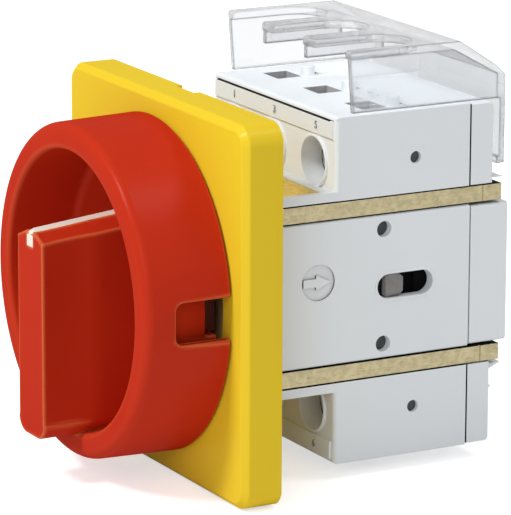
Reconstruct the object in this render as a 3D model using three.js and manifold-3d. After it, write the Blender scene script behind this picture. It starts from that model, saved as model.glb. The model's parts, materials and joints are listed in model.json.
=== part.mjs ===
// Rotary isolator switch for a panel door, three poles, with a red rotary handle on a yellow plate.
// Millimetres. X to the right seen from the front, Y from the handle to the back, Z up.
// The origin is on the shaft's axis, at the back face of the plate, where the panel begins.

import * as THREE from 'three';
import { mergeVertices } from 'three/addons/utils/BufferGeometryUtils.js';
import Module from 'manifold-3d';

const wasm = await Module();
wasm.setup();

// Driving sizes

const fit = { gap: 0.3, overrun: 1, weld: 0.0001 };
const round = { drum: 48, large: 24, medium: 12, small: 8, wire: 5, turn: 8, corner: 3, bore: 18 };
const driveArmShare = 0.7;
const panel = { thickest: 5 };

const poles = { count: 3, pitch: 20 };

const plate = {
  width: 90,
  depth: 10,
  bevelWidth: 1.7,
  bevelDepth: 1.2,
  cornerRadius: 5,
  rim: 6,
  skin: 2.6,
  landWidth: 5.2,
  recessGap: 0.9,
  recessDepth: 4.6,
  throatGap: 0.6,
  throatLength: 2.2,
  notchWidth: 9,
  notchDepth: 1,
  notchLength: 1.6,
};

const seal = { inset: 2, width: 1.6, depth: 1.3, sunk: 0.2, innerRadius: 1.4 };
const shaftSeal = { radius: 0.95, sides: 6 };

const lockRing = {
  flangeRim: 3.2,
  flangeThickness: 1.3,
  radius: 22,
  boreRadius: 10.4,
  height: 2.2,
  notchSpare: 0.8,
  notches: 4,
};

const fixing = {
  inset: 8,
  shankRadius: 2,
  headRadius: 3.5,
  headHeight: 1.8,
  length: 23,
  driveWidth: 1.2,
  driveDepth: 0.9,
};

const knob = {
  radius: 40,
  taper: 0.5,
  depth: 21.8,
  outerFillet: 2.45,
  rim: 6.7,
  lipFillet: 1.2,
  draft: 1,
  bowlDepth: 17.3,
  bowlFillet: 2,
  floor: 3.4,
  shell: 2.6,
  bowlWall: 2.3,
  hollowEnd: 4.5,
  hubRadius: 9,
  hubLength: 1.8,
};

const grip = {
  width: 14,
  proud: 9.8,
  ridge: 16.2,
  shoulder: 13.6,
  ridgeRise: 2.7,
  footOverlap: 0.2,
  footRadius: 4,
  edge: 1.1,
  edgeShare: 0.32,
  waist: 0.9,
  waistRadius: 34,
};

const pointer = { width: 4.1, height: 0.5, drop: 3.2, end: 1.2, seat: 0.05 };

const padlock = {
  height: 10,
  length: 13.9,
  cornerRadius: 2,
  slideWidth: 9.2,
  slideThickness: 3.2,
  slideEdge: 8.5,
  mouthRise: 0.8,
  toothGap: 0.4,
  toothLength: 3.2,
  toothWidth: 6.4,
  toothHeight: 2.8,
  travel: 3,
  stopGap: 1.5,
  skin: 1,
};

const padlockSpring = { radius: 1.15, wire: 0.22, turns: 4 };

const shaft = {
  square: 9.6,
  frontLength: 15,
  journalRadius: 7,
  rearLength: 16.4,
  grooveFromFront: 3.4,
  grooveWidth: 1.4,
  grooveDepth: 1,
};

const clip = { thickness: 0.8, width: 0.75, mouth: 3 };
const bush = { outerRadius: 8.8, flangeRadius: 10.6, flangeThickness: 1.1, length: 4.5 };

const housing = {
  halfHeight: 17.3,
  wall: 2.5,
  frontWall: 3.5,
  seam: 58.4,
  end: 68.8,
  seamStep: 0.4,
  edge: 0.8,
  partition: 1.2,
  columnHeight: 5,
  columnStart: 38,
};

const sideSlot = { start: 33.3, end: 48.3, height: 5.9, rim: 0.5, rimHeight: 0.3 };
const dimple = { y: 35.1, z: 13.8, radius: 1.9, depth: 2.1 };

const bodyScrew = {
  shankRadius: 1.2,
  headRadius: 2.3,
  headHeight: 1.8,
  sunk: 0.8,
  length: 24,
  driveWidth: 0.8,
  driveDepth: 0.7,
};

const cam = {
  hubRadius: 8.2,
  hubLength: 3.7,
  sideGap: 1.4,
  innerRadius: 7.9,
  plate: 2.4,
  lift: 6,
  quarterTurn: 90,
  noseAngle: 30,
  leadAngle: 5,
  tailAngle: 5,
  lobes: 2,
  crankInset: 2.4,
  crankPinRadius: 1.3,
  crankPinLength: 4.2,
  stepAngle: 13,
};

const snap = { postInset: 5.5, postRadius: 1.5, postLength: 5.2, coilRadius: 1.6, wire: 0.45, turns: 5 };

const carrier = {
  backGap: 0.6,
  plate: 4,
  sideGap: 0.7,
  height: 17,
  stemWidth: 9.8,
  stemHeight: 11.2,
  cheek: 1.1,
  neckWidth: 6.4,
  rearCap: 1.6,
  windowLength: 8.1,
  lugInset: 0.6,
  lugEdge: 1,
  lugLength: 7,
  lugOverlap: 1.5,
};

const bridge = { width: 7, length: 24, thickness: 2, padRadius: 2.5, padHeight: 1.2, padSpacing: 18.6 };
const contactSpring = { radius: 2.1, wire: 0.4, turns: 3.5 };

const contact = {
  width: 8,
  thickness: 2,
  frontY: 43.6,
  reach: 6.6,
  padHeight: 1.4,
  clampY: 38.8,
  rise: 14.7,
};

const frameBar = {
  thickness: 3.9,
  front: 5,
  end: 67,
  padRise: 2.2,
  padEnd: 19.3,
  holeWidth: 10.8,
  holeLength: 6.2,
  crease: 61.4,
  creaseWidth: 0.5,
  creaseDepth: 0.25,
};

const block = {
  height: 19.8,
  front: 22,
  seam: 58.1,
  end: 64.4,
  edge: 1,
  railWidth: 1.5,
  lip: 2.4,
  bottomWall: 2.4,
  topWall: 2.3,
  chamberWall: 1.6,
  chamberFront: 28.8,
  wireWidth: 8.2,
  wireFront: 31.9,
  wireBack: 38.6,
  screwRise: 7.8,
  collarRadius: 6.3,
  dishRadius: 5.7,
  dishDepth: 5,
  boreRadius: 4.3,
  relief: 0.6,
  bandRise: 14.4,
  sideHoleY: 43.4,
  sideHoleRise: 8.3,
  sideHoleRadius: 1.45,
  sideHoleDepth: 1.2,
  postRadius: 1.7,
  postHeight: 2.4,
  postOffset: 3,
  slotLength: 5,
  slotWidth: 0.9,
  slotDepth: 1,
  sleeveWall: 0.8,
};

const cap = {
  tongueReach: 5,
  tongueWidth: 9,
  tongueHeight: 8,
  pocketDepth: 3.4,
  pocketRise: 7.8,
  ledgeReach: 4,
  ledgeHeight: 1.8,
  catchReach: 1.4,
  catchHeight: 1.2,
  catchWidth: 8,
};

const clamp = { width: 11.2, side: 1.3, height: 5.6, frontWall: 2.6, rearWall: 1.5 };

const screw = {
  shankRadius: 2.4,
  headRadius: 3.9,
  headHeight: 2.4,
  headY: 26.2,
  driveWidth: 1.2,
  driveDepth: 1.2,
};

const cover = {
  wall: 1.5,
  front: 25.6,
  clearance: 0.4,
  height: 14.6,
  roof: 2,
  roofEnd: 55,
  slopeEnd: 65.4,
  slopeDrop: 6.8,
  back: 67.6,
  skirtDrop: 15.6,
  hook: 2.2,
  hookHeight: 1.6,
  slotWidth: 14.4,
  slotEnd: 46.5,
  webDepth: 5,
  webThickness: 1.2,
  webOffset: 1.3,
  cornerRadius: 0.8,
  lean: 1,
};

// Places worked out from the sizes

const polePlaces = Array.from({ length: poles.count }, (_, i) => (i - (poles.count - 1) / 2) * poles.pitch);
const bodyHalf = (poles.count * poles.pitch) / 2;
const plateHalf = plate.width / 2;
const plateFront = -plate.depth;
const knobRear = plateFront - fit.gap;
const knobFront = knobRear - knob.depth;
const lipRadius = knob.radius - knob.rim;
const gripFoot = lipRadius + grip.footOverlap;
const bowlFloor = knobFront + knob.bowlDepth;
const floorBack = bowlFloor + knob.floor;
const hubBack = floorBack + knob.hubLength;
const gripFront = knobFront - grip.proud;
const recessFloor = plateFront + plate.recessDepth;
const flangeFront = recessFloor - fit.gap - lockRing.flangeThickness;
const lockFront = flangeFront - lockRing.height;
const bodyFront = panel.thickest;
const cavityFront = bodyFront + housing.frontWall;
const cavityHalfWidth = bodyHalf - housing.wall;
const cavityHalfHeight = housing.halfHeight - housing.wall;
const columnInner = polePlaces.at(-1) + contact.width / 2 + fit.gap;
const bodyScrewX = columnInner + bodyScrew.headRadius;
const bodyScrewZ = cavityHalfHeight - fit.gap - bodyScrew.headRadius;
const bodyScrewFront = housing.end - bodyScrew.sunk - bodyScrew.length;
const fixingX = bodyHalf - fixing.inset;
const frameBottom = housing.halfHeight + fit.gap;
const frameTop = frameBottom + frameBar.thickness;
const padTop = frameTop + frameBar.padRise;
const fixingZ = (frameBottom + padTop) / 2;
const flangeRadius = Math.hypot(fixingX, fixingZ) + lockRing.flangeRim;
const recessRadius = flangeRadius + plate.recessGap;
const boreRadius = shaft.journalRadius + 2 * (shaftSeal.radius + fit.gap);
const journalEnd = cavityFront + fit.gap;
const shaftEnd = journalEnd + shaft.rearLength;
const camRadius = cavityHalfHeight - cam.sideGap;
const crankRadius = camRadius - cam.crankInset;
const camHubFront = cavityFront + bush.length - bush.flangeThickness - housing.frontWall + 2 * fit.gap;
const camPlateFront = camHubFront + cam.hubLength;
const camPlateBack = camPlateFront + cam.plate;
const risePerDegree = cam.lift / cam.quarterTurn;
const lowLift = (cam.noseAngle + cam.tailAngle) * risePerDegree;
const highLift = (cam.quarterTurn + cam.leadAngle) * risePerDegree;
const rampZero = camPlateBack + fit.gap + lowLift;
const carrierFront = rampZero + highLift + carrier.backGap;
const carrierBack = carrierFront + carrier.plate;
const bridgeFront = contact.frontY + contact.thickness + contact.padHeight + fit.gap + bridge.padHeight;
const windowFront = bridgeFront - fit.gap;
const windowBack = windowFront + carrier.windowLength;
const stemBack = windowBack + carrier.rearCap;
const slideFront = floorBack - (knob.floor - padlock.skin) + fit.gap;
const slideBack = slideFront + padlock.slideThickness;
const slideInner = lockRing.radius + padlock.toothGap;
const slideOuter = knob.radius - padlock.slideEdge;
const slideStop = slideInner - padlock.travel - padlock.stopGap;
const snapPostX = snap.postInset - cavityHalfWidth;
const carrierHalf = cavityHalfWidth - carrier.sideGap;
const chamberHalf = poles.pitch / 2 - block.chamberWall;
const blockBottom = frameTop + fit.gap;
const blockTop = blockBottom + block.height;
const railTop = padTop + fit.gap;
const terminalZ = blockBottom + block.screwRise;
const bandBottom = blockBottom + block.bandRise;
const sideHoleZ = blockBottom + block.sideHoleRise;
const jogZ = blockBottom + block.bottomWall + fit.gap;
const contactTop = blockBottom + contact.rise;
const coverBottom = blockTop + cover.clearance;
const coverTop = coverBottom + cover.height;
const slopeZ = coverTop - cover.slopeDrop;
const skirtEnd = coverBottom - cover.skirtDrop;
const hookTop = skirtEnd + cover.hookHeight;
const railInner = bodyHalf - block.railWidth;

// Colours and finishes, one for each kind of piece

const finish = {
  red: new THREE.MeshStandardMaterial({ color: 0xc8301c, roughness: 0.42, metalness: 0 }),
  yellow: new THREE.MeshStandardMaterial({ color: 0xf0cc38, roughness: 0.45, metalness: 0 }),
  white: new THREE.MeshStandardMaterial({ color: 0xf4f2ec, roughness: 0.5, metalness: 0 }),
  grey: new THREE.MeshStandardMaterial({ color: 0xd3d7da, roughness: 0.5, metalness: 0 }),
  clear: new THREE.MeshStandardMaterial({
    color: 0xe4e8ec, roughness: 0.08, transparent: true, opacity: 0.35,
  }),
  black: new THREE.MeshStandardMaterial({ color: 0x1c1c1e, roughness: 0.6, metalness: 0 }),
  rubber: new THREE.MeshStandardMaterial({ color: 0x2a2a2b, roughness: 0.9, metalness: 0 }),
  carrierGrey: new THREE.MeshStandardMaterial({ color: 0x8b8b88, roughness: 0.65, metalness: 0 }),
  chromate: new THREE.MeshStandardMaterial({ color: 0xc7b98a, roughness: 0.4, metalness: 1 }),
  steel: new THREE.MeshStandardMaterial({ color: 0xb8babd, roughness: 0.35, metalness: 1 }),
  copper: new THREE.MeshStandardMaterial({ color: 0xc98455, roughness: 0.35, metalness: 1 }),
};

// Turning three.js geometry into solids, joining and cutting

function solidFrom(geometry) {
  const bare = geometry.index ? geometry.toNonIndexed() : geometry.clone();
  bare.deleteAttribute('normal');
  bare.deleteAttribute('uv');
  const merged = mergeVertices(bare, fit.weld);
  const points = merged.getAttribute('position').array;
  const corners = [];
  let volume = 0;
  for (let i = 0; i < merged.index.count; i += 3) {
    const [a, b, c] = [0, 1, 2].map((k) => merged.index.getX(i + k));
    if (a === b || b === c || c === a) continue;
    corners.push(a, b, c);
    const [p, q, r] = [a, b, c].map((v) => new THREE.Vector3().fromArray(points, v * 3));
    volume += p.dot(q.cross(r));
  }
  if (volume < 0) corners.reverse();
  return new wasm.Manifold(new wasm.Mesh({
    numProp: 3,
    vertProperties: new Float32Array(points),
    triVerts: new Uint32Array(corners),
  }));
}

function join(...solids) {
  return solids.reduce((all, one) => all.add(one));
}

function cut(solid, ...tools) {
  return tools.reduce((rest, tool) => rest.subtract(tool), solid);
}

function pieceOf(name, solid, material) {
  const mesh = solid.getMesh();
  const geometry = new THREE.BufferGeometry();
  geometry.setAttribute('position', new THREE.BufferAttribute(new Float32Array(mesh.vertProperties), 3));
  geometry.setIndex(Array.from(mesh.triVerts));
  geometry.computeVertexNormals();
  const piece = new THREE.Mesh(geometry, material);
  piece.name = name;
  return piece;
}

// Two ends on one side of the middle, in rising order
function mirrored(side, a, b) {
  return side > 0 ? [a, b] : [-b, -a];
}

// Basic solids, placed by their own ends

function boxBetween(x0, x1, y0, y1, z0, z1) {
  const geometry = new THREE.BoxGeometry(x1 - x0, y1 - y0, z1 - z0);
  geometry.translate((x0 + x1) / 2, (y0 + y1) / 2, (z0 + z1) / 2);
  return solidFrom(geometry);
}

function rodAlongY(radius, y0, y1, x = 0, z = 0, sides = round.medium, endRadius = radius) {
  const geometry = new THREE.CylinderGeometry(endRadius, radius, y1 - y0, sides);
  geometry.translate(x, (y0 + y1) / 2, z);
  return solidFrom(geometry);
}

function rodAlongX(radius, x0, x1, y, z, sides = round.medium, endRadius = radius) {
  const geometry = new THREE.CylinderGeometry(radius, endRadius, x1 - x0, sides);
  geometry.rotateZ(Math.PI / 2);
  geometry.translate((x0 + x1) / 2, y, z);
  return solidFrom(geometry);
}

function rodAlongZ(radius, z0, z1, x, y, sides = round.medium) {
  const geometry = new THREE.CylinderGeometry(radius, radius, z1 - z0, sides);
  geometry.rotateX(Math.PI / 2);
  geometry.translate(x, y, (z0 + z1) / 2);
  return solidFrom(geometry);
}

function revolved(profile, sides) {
  return solidFrom(new THREE.LatheGeometry(profile.map(([r, y]) => new THREE.Vector2(r, y)), sides));
}

function straightExtrusion(shape, depth) {
  return new THREE.ExtrudeGeometry(shape, { depth, bevelEnabled: false, curveSegments: round.corner });
}

// A shape drawn in X and Z, from y0 back to y1
function extrudedAlongY(shape, y0, y1) {
  const geometry = straightExtrusion(shape, y1 - y0);
  geometry.rotateX(Math.PI / 2);
  geometry.translate(0, y1, 0);
  return solidFrom(geometry);
}

// A shape drawn in Y and Z, from x0 to x1
function extrudedAlongX(shape, x0, x1) {
  const geometry = straightExtrusion(shape, x1 - x0);
  const turn = new THREE.Matrix4().makeBasis(
    new THREE.Vector3(0, 1, 0),
    new THREE.Vector3(0, 0, 1),
    new THREE.Vector3(1, 0, 0),
  );
  geometry.applyMatrix4(turn);
  geometry.translate(x0, 0, 0);
  return solidFrom(geometry);
}

// A shape drawn in X and Y, from z0 up to z1
function extrudedAlongZ(shape, z0, z1) {
  const geometry = straightExtrusion(shape, z1 - z0);
  geometry.translate(0, 0, z0);
  return solidFrom(geometry);
}

function outline(points) {
  return new THREE.Shape(points.map(([a, b]) => new THREE.Vector2(a, b)));
}

function roundedRectangle(a0, a1, b0, b1, radius) {
  const shape = new THREE.Shape();
  shape.moveTo(a0 + radius, b0);
  shape.lineTo(a1 - radius, b0);
  shape.absarc(a1 - radius, b0 + radius, radius, -Math.PI / 2, 0);
  shape.lineTo(a1, b1 - radius);
  shape.absarc(a1 - radius, b1 - radius, radius, 0, Math.PI / 2);
  shape.lineTo(a0 + radius, b1);
  shape.absarc(a0 + radius, b1 - radius, radius, Math.PI / 2, Math.PI);
  shape.lineTo(a0, b0 + radius);
  shape.absarc(a0 + radius, b0 + radius, radius, Math.PI, 1.5 * Math.PI);
  return shape;
}

function roundedSquare(half, radius) {
  return roundedRectangle(-half, half, -half, half, radius);
}

// Points on an arc from one angle to another, in degrees
function arcPoints(centreA, centreB, radius, from, to, steps = round.corner) {
  return Array.from({ length: steps + 1 }, (_, i) => {
    const angle = THREE.MathUtils.degToRad(from + ((to - from) * i) / steps);
    return [centreA + radius * Math.cos(angle), centreB + radius * Math.sin(angle)];
  });
}

class Helix extends THREE.Curve {
  constructor(start, axis, length, radius, turns) {
    super();
    Object.assign(this, { start, axis: axis.clone().normalize(), length, radius, turns });
    this.across = new THREE.Vector3().crossVectors(this.axis, new THREE.Vector3(0, 0, 1)).normalize();
    this.up = new THREE.Vector3().crossVectors(this.axis, this.across);
  }

  getPoint(share, target = new THREE.Vector3()) {
    const angle = share * this.turns * 2 * Math.PI;
    return target.copy(this.start)
      .addScaledVector(this.axis, share * this.length)
      .addScaledVector(this.across, this.radius * Math.cos(angle))
      .addScaledVector(this.up, this.radius * Math.sin(angle));
  }
}

// The least gap between turns of a coil, measured on points more than half a turn apart
function leastGap(path, wireRadius) {
  const points = path.getPoints(Math.ceil(path.turns * round.turn * 4));
  const apart = round.turn * 2;
  let least = Infinity;
  points.forEach((point, i) => {
    for (let j = i + apart; j < points.length; j += 1) least = Math.min(least, point.distanceTo(points[j]));
  });
  return least - 2 * wireRadius;
}

// One unbroken coil of round wire
function coil(label, start, axis, length, radius, wireRadius, turns) {
  const along = axis.clone().normalize();
  const first = start.clone().addScaledVector(along, wireRadius);
  const path = new Helix(first, along, length - 2 * wireRadius, radius, turns);
  const section = outline(arcPoints(0, 0, wireRadius, 0, 360 - 360 / round.wire, round.wire - 1));
  const steps = Math.ceil(turns * round.turn);
  console.log(`${label}: least gap between turns ${leastGap(path, wireRadius).toFixed(2)} mm`);
  return solidFrom(new THREE.ExtrudeGeometry(section, { steps, extrudePath: path }));
}

// Front: plate, seal, lock ring and the four fixing screws

function fixingPlaces() {
  return [-1, 1].flatMap((sx) => [-1, 1].map((sz) => [sx * fixingX, sz * fixingZ]));
}

function frontPlate() {
  const straight = plate.depth - plate.bevelDepth;
  const geometry = new THREE.ExtrudeGeometry(roundedSquare(plateHalf, plate.cornerRadius), {
    depth: straight + fit.overrun,
    bevelEnabled: true,
    bevelThickness: plate.bevelDepth,
    bevelSize: plate.bevelWidth,
    bevelOffset: -plate.bevelWidth,
    bevelSegments: 3,
    curveSegments: round.corner + 1,
  });
  geometry.rotateX(Math.PI / 2);
  geometry.translate(0, fit.overrun, 0);
  const body = solidFrom(geometry);
  const behind = boxBetween(-plate.width, plate.width, 0, plate.width, -plate.width, plate.width);
  const inner = plateHalf - plate.rim;
  const pockets = extrudedAlongY(
    roundedSquare(inner, plate.cornerRadius / 2), plateFront + plate.skin, fit.overrun);
  const land = rodAlongY(recessRadius + plate.landWidth, plateFront, 2 * fit.overrun, 0, 0, round.large);
  const recess = rodAlongY(recessRadius, plateFront - fit.overrun, recessFloor, 0, 0, round.drum);
  const throatRadius = shaft.journalRadius + plate.throatGap;
  const throat = rodAlongY(throatRadius, plateFront, fit.overrun, 0, 0, round.large);
  const bore = rodAlongY(boreRadius, recessFloor + plate.throatLength, fit.overrun, 0, 0, round.large);
  const notch = boxBetween(
    -plate.notchWidth / 2, plate.notchWidth / 2, -plate.notchLength, fit.overrun,
    plateHalf - plate.notchDepth, plateHalf + fit.overrun);
  const holes = fixingPlaces().map(([x, z]) => rodAlongY(
    fixing.shankRadius + fit.gap, plateFront, fit.overrun, x, z));
  const grooveOuter = plateHalf - seal.inset + fit.gap;
  const grooveInner = plateHalf - seal.inset - seal.width - fit.gap;
  const groove = cut(
    extrudedAlongY(
      roundedSquare(grooveOuter, plate.cornerRadius - seal.inset + fit.gap),
      -seal.depth - seal.sunk - fit.gap, fit.overrun),
    extrudedAlongY(roundedSquare(grooveInner, seal.innerRadius - fit.gap), plateFront, 2 * fit.overrun));
  return cut(body, behind, cut(pockets, land), recess, throat, bore, notch, groove, ...holes);
}

function panelSeal() {
  const outer = plateHalf - seal.inset;
  const inner = outer - seal.width;
  const y0 = -seal.depth - seal.sunk;
  return cut(
    extrudedAlongY(roundedSquare(outer, plate.cornerRadius - seal.inset), y0, -seal.sunk),
    extrudedAlongY(roundedSquare(inner, seal.innerRadius), y0 - fit.overrun, fit.overrun));
}

function sealRing() {
  const middle = (shaft.journalRadius + boreRadius) / 2;
  const centreY = recessFloor + plate.throatLength + fit.gap + shaftSeal.radius;
  return revolved(arcPoints(middle, centreY, shaftSeal.radius, 0, 360, shaftSeal.sides), round.large);
}

function lockRingPiece() {
  const flange = rodAlongY(
    flangeRadius, flangeFront, flangeFront + lockRing.flangeThickness, 0, 0, round.large);
  const ring = rodAlongY(lockRing.radius, lockFront, flangeFront + fit.overrun, 0, 0, round.large);
  const bore = rodAlongY(lockRing.boreRadius, lockFront - fit.overrun, 0, 0, 0, round.large);
  const notchHalf = padlock.toothWidth / 2 + fit.gap;
  const notch = boxBetween(
    slideInner - padlock.travel - lockRing.notchSpare, lockRing.radius + fit.overrun,
    lockFront - fit.overrun, flangeFront, -notchHalf, notchHalf);
  const notches = Array.from(
    { length: lockRing.notches }, (_, i) => notch.rotate([0, (i * 360) / lockRing.notches, 0]));
  const holes = fixingPlaces().map(([x, z]) => rodAlongY(fixing.shankRadius + fit.gap, lockFront, 0, x, z));
  return cut(join(flange, ring), bore, ...notches, ...holes);
}

function slottedScrew(sizes, headFront, x, z, sides) {
  const head = rodAlongY(sizes.headRadius, headFront, headFront + sizes.headHeight, x, z, round.medium);
  const shank = rodAlongY(sizes.shankRadius, headFront + fit.gap, headFront + sizes.length, x, z, sides);
  const arm = sizes.headRadius * driveArmShare;
  const drive = [[arm, sizes.driveWidth / 2], [sizes.driveWidth / 2, arm]].map(([a, b]) => boxBetween(
    x - a, x + a, headFront - fit.overrun, headFront + sizes.driveDepth, z - b, z + b));
  return cut(join(head, shank), ...drive);
}

function fixingScrew([x, z]) {
  return slottedScrew(fixing, flangeFront - fit.gap - fixing.headHeight, x, z, round.small);
}

// Handle: drum with bowl and grip, its pointer and the padlock slide

function knobDrum() {
  const foot = lipRadius - knob.draft;
  const wallRoot = foot + knob.bowlWall;
  const wallTop = lipRadius + knob.bowlWall;
  const hollowTop = knobFront + knob.hollowEnd;
  const shellInner = knob.radius - knob.shell;
  const edge = knob.radius - knob.taper - knob.outerFillet;
  const profile = [
    [0, floorBack],
    [wallRoot, floorBack],
    [wallTop, hollowTop],
    [shellInner - fit.gap, hollowTop],
    [shellInner, knobRear],
    [knob.radius, knobRear],
    ...arcPoints(edge, knobFront + knob.outerFillet, knob.outerFillet, 0, -90),
    ...arcPoints(lipRadius + knob.lipFillet, knobFront + knob.lipFillet, knob.lipFillet, -90, -180),
    ...arcPoints(foot - knob.bowlFillet, bowlFloor - knob.bowlFillet, knob.bowlFillet, 0, 90),
    [0, bowlFloor],
  ];
  return revolved(profile, round.drum);
}

function gripSolid() {
  const half = grip.width / 2;
  const rise = grip.ridgeRise;
  const section = (shrink, lift) => outline([
    [-half + shrink, grip.shoulder + lift - shrink],
    ...arcPoints(-half + grip.footRadius, -gripFoot + grip.footRadius, grip.footRadius - shrink, 180, 270),
    ...arcPoints(half - grip.footRadius, -gripFoot + grip.footRadius, grip.footRadius - shrink, 270, 360),
    [half - shrink, grip.shoulder + lift - shrink],
    [0, grip.ridge + lift - shrink],
  ]);
  const stations = [
    [gripFront, grip.edge, 0],
    [gripFront + grip.edge * grip.edgeShare, grip.edge * grip.edgeShare, 0],
    [gripFront + grip.edge, 0, 0],
    [bowlFloor + fit.gap, 0, rise],
  ];
  const waists = [-1, 1].map((side) => rodAlongZ(
    grip.waistRadius, -gripFoot - fit.overrun, grip.ridge + rise + fit.overrun,
    side * (half + grip.waistRadius - grip.waist), (gripFront + knobFront) / 2 + grip.edge, round.drum));
  return cut(lofted(stations.map(([y, shrink, lift]) => [section(shrink, lift), y])), ...waists);
}

// A skin through outlines with equal counts of points, each at its own depth along Y
function lofted(sections) {
  const rings = sections.map(([shape, y]) => shape.getPoints().map((p) => new THREE.Vector3(p.x, y, p.y)));
  const count = rings[0].length;
  const points = rings.flat();
  const corners = [];
  for (let s = 0; s + 1 < rings.length; s += 1) {
    for (let i = 0; i < count; i += 1) {
      const [a, b] = [s * count + i, s * count + ((i + 1) % count)];
      corners.push(a, b, b + count, a, b + count, a + count);
    }
  }
  const faces = THREE.ShapeUtils.triangulateShape(rings[0].map((p) => new THREE.Vector2(p.x, p.z)), []);
  const last = (rings.length - 1) * count;
  faces.forEach(([a, b, c]) => corners.push(c, b, a, a + last, b + last, c + last));
  const geometry = new THREE.BufferGeometry();
  geometry.setAttribute('position', new THREE.Float32BufferAttribute(points.flatMap((p) => p.toArray()), 3));
  geometry.setIndex(corners);
  return solidFrom(geometry);
}

function knobPiece() {
  const hub = rodAlongY(knob.hubRadius, floorBack - fit.gap, hubBack, 0, 0, round.large);
  const socketHalf = shaft.square / 2 + fit.gap;
  const socket = boxBetween(
    -socketHalf, socketHalf, hubBack - shaft.frontLength - fit.gap, hubBack + fit.overrun,
    -socketHalf, socketHalf);
  const half = padlock.height / 2;
  const window = extrudedAlongX(
    roundedRectangle(
      knobRear - padlock.length, knobRear + 2 * padlock.cornerRadius, -half, half, padlock.cornerRadius),
    lipRadius + knob.bowlWall + fit.gap, knob.radius + fit.overrun);
  const pocketHalf = padlock.slideWidth / 2 + fit.gap;
  const pocket = boxBetween(
    slideStop, lipRadius + knob.bowlWall, slideFront - fit.gap, floorBack + fit.overrun,
    -pocketHalf, pocketHalf);
  const mouth = boxBetween(
    lipRadius - knob.draft + fit.gap, lipRadius + knob.bowlWall, slideFront - fit.gap - padlock.mouthRise,
    slideFront, -pocketHalf, pocketHalf);
  const springSeat = boxBetween(
    slideStop - padlock.travel, slideStop + fit.gap, slideFront - fit.gap, floorBack + fit.overrun,
    -padlockSpring.radius - 2 * fit.gap, padlockSpring.radius + 2 * fit.gap);
  const groove = pointerSolid(pointer.seat);
  return cut(join(knobDrum(), gripSolid(), hub), socket, window, pocket, mouth, springSeat, groove);
}

// The white line: along the ridge and a little way down the grip's front
function pointerSolid(clearance) {
  const half = pointer.width / 2 + clearance;
  const slope = (grip.ridge - grip.shoulder) / (grip.width / 2);
  const sink = pointer.height + clearance;
  const open = clearance ? fit.overrun : 0;
  const backY = bowlFloor + fit.gap;
  const rise = grip.ridgeRise / (backY - gripFront - grip.edge);
  const endY = bowlFloor - pointer.end + clearance;
  const strip = (drop) => {
    const top = grip.ridge - drop;
    return outline([
      [-half, top - half * slope - sink],
      [half, top - half * slope - sink],
      [half, top - half * slope + open],
      [0, top + open],
      [-half, top - half * slope + open],
    ]);
  };
  const ridge = lofted([
    [strip(grip.edge + open), gripFront - open],
    [strip(grip.edge), gripFront],
    [strip(grip.edge * grip.edgeShare), gripFront + grip.edge * grip.edgeShare],
    [strip(0), gripFront + grip.edge],
    [strip((gripFront + grip.edge - endY) * rise), endY],
  ].slice(clearance ? 0 : 1));
  const tail = boxBetween(
    -half, half, gripFront - open, gripFront + sink,
    grip.ridge - grip.edge - pointer.drop - clearance,
    grip.ridge - grip.edge - (pointer.width / 2) * slope + clearance);
  return join(ridge, tail);
}

function padlockSlide() {
  const half = padlock.slideWidth / 2;
  const bar = boxBetween(slideInner, slideOuter, slideFront, slideBack, -half, half);
  const toothHalf = padlock.toothWidth / 2;
  const tooth = boxBetween(
    slideInner, slideInner + padlock.toothLength, slideBack - fit.gap,
    slideBack + padlock.toothHeight, -toothHalf, toothHalf);
  const scoop = rodAlongZ(
    padlock.height, -padlock.height, padlock.height, slideOuter + padlock.height - padlock.skin / 2,
    slideBack, round.large);
  return cut(join(bar, tooth), scoop);
}

function padlockReturn() {
  const endX = slideInner - fit.gap;
  const startX = slideStop - padlock.travel + fit.gap;
  return coil(
    'padlock_spring', new THREE.Vector3(startX, slideFront + padlockSpring.radius + padlockSpring.wire, 0),
    new THREE.Vector3(1, 0, 0), endX - startX, padlockSpring.radius, padlockSpring.wire, padlockSpring.turns);
}

// Shaft with its clip, bush and cam

function driveShaft() {
  const half = shaft.square / 2;
  const front = hubBack - shaft.frontLength;
  const journalStart = hubBack + fit.gap;
  const square = boxBetween(-half, half, front, shaftEnd, -half, half);
  const journal = rodAlongY(shaft.journalRadius, journalStart, journalEnd, 0, 0, round.large);
  const grooveFront = front + shaft.grooveFromFront;
  const core = half - shaft.grooveDepth;
  const grooveBack = grooveFront + shaft.grooveWidth;
  const groove = cut(
    boxBetween(-shaft.square, shaft.square, grooveFront, grooveBack, -shaft.square, shaft.square),
    boxBetween(-core, core, grooveFront - fit.overrun, grooveBack + fit.overrun, -core, core));
  return cut(join(square, journal), groove);
}

function knobClip() {
  const inner = shaft.square / 2 - shaft.grooveDepth + fit.gap;
  const outer = inner + clip.width;
  const grooveFront = hubBack - shaft.frontLength + shaft.grooveFromFront;
  const y0 = grooveFront + (shaft.grooveWidth - clip.thickness) / 2;
  const y1 = y0 + clip.thickness;
  const mouthHalf = clip.mouth / 2;
  return cut(
    boxBetween(-outer, outer, y0, y1, -outer, outer),
    boxBetween(-inner, inner, y0 - fit.overrun, y1 + fit.overrun, -inner, inner),
    boxBetween(-mouthHalf, mouthHalf, y0 - fit.overrun, y1 + fit.overrun, 0, 2 * outer));
}

function shaftBush() {
  const inner = shaft.journalRadius + fit.gap;
  const front = bodyFront - fit.gap - bush.flangeThickness;
  return revolved([
    [inner, front],
    [bush.flangeRadius, front],
    [bush.flangeRadius, front + bush.flangeThickness],
    [bush.outerRadius, front + bush.flangeThickness],
    [bush.outerRadius, front + bush.length],
    [inner, front + bush.length],
    [inner, front],
  ], round.large);
}

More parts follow.
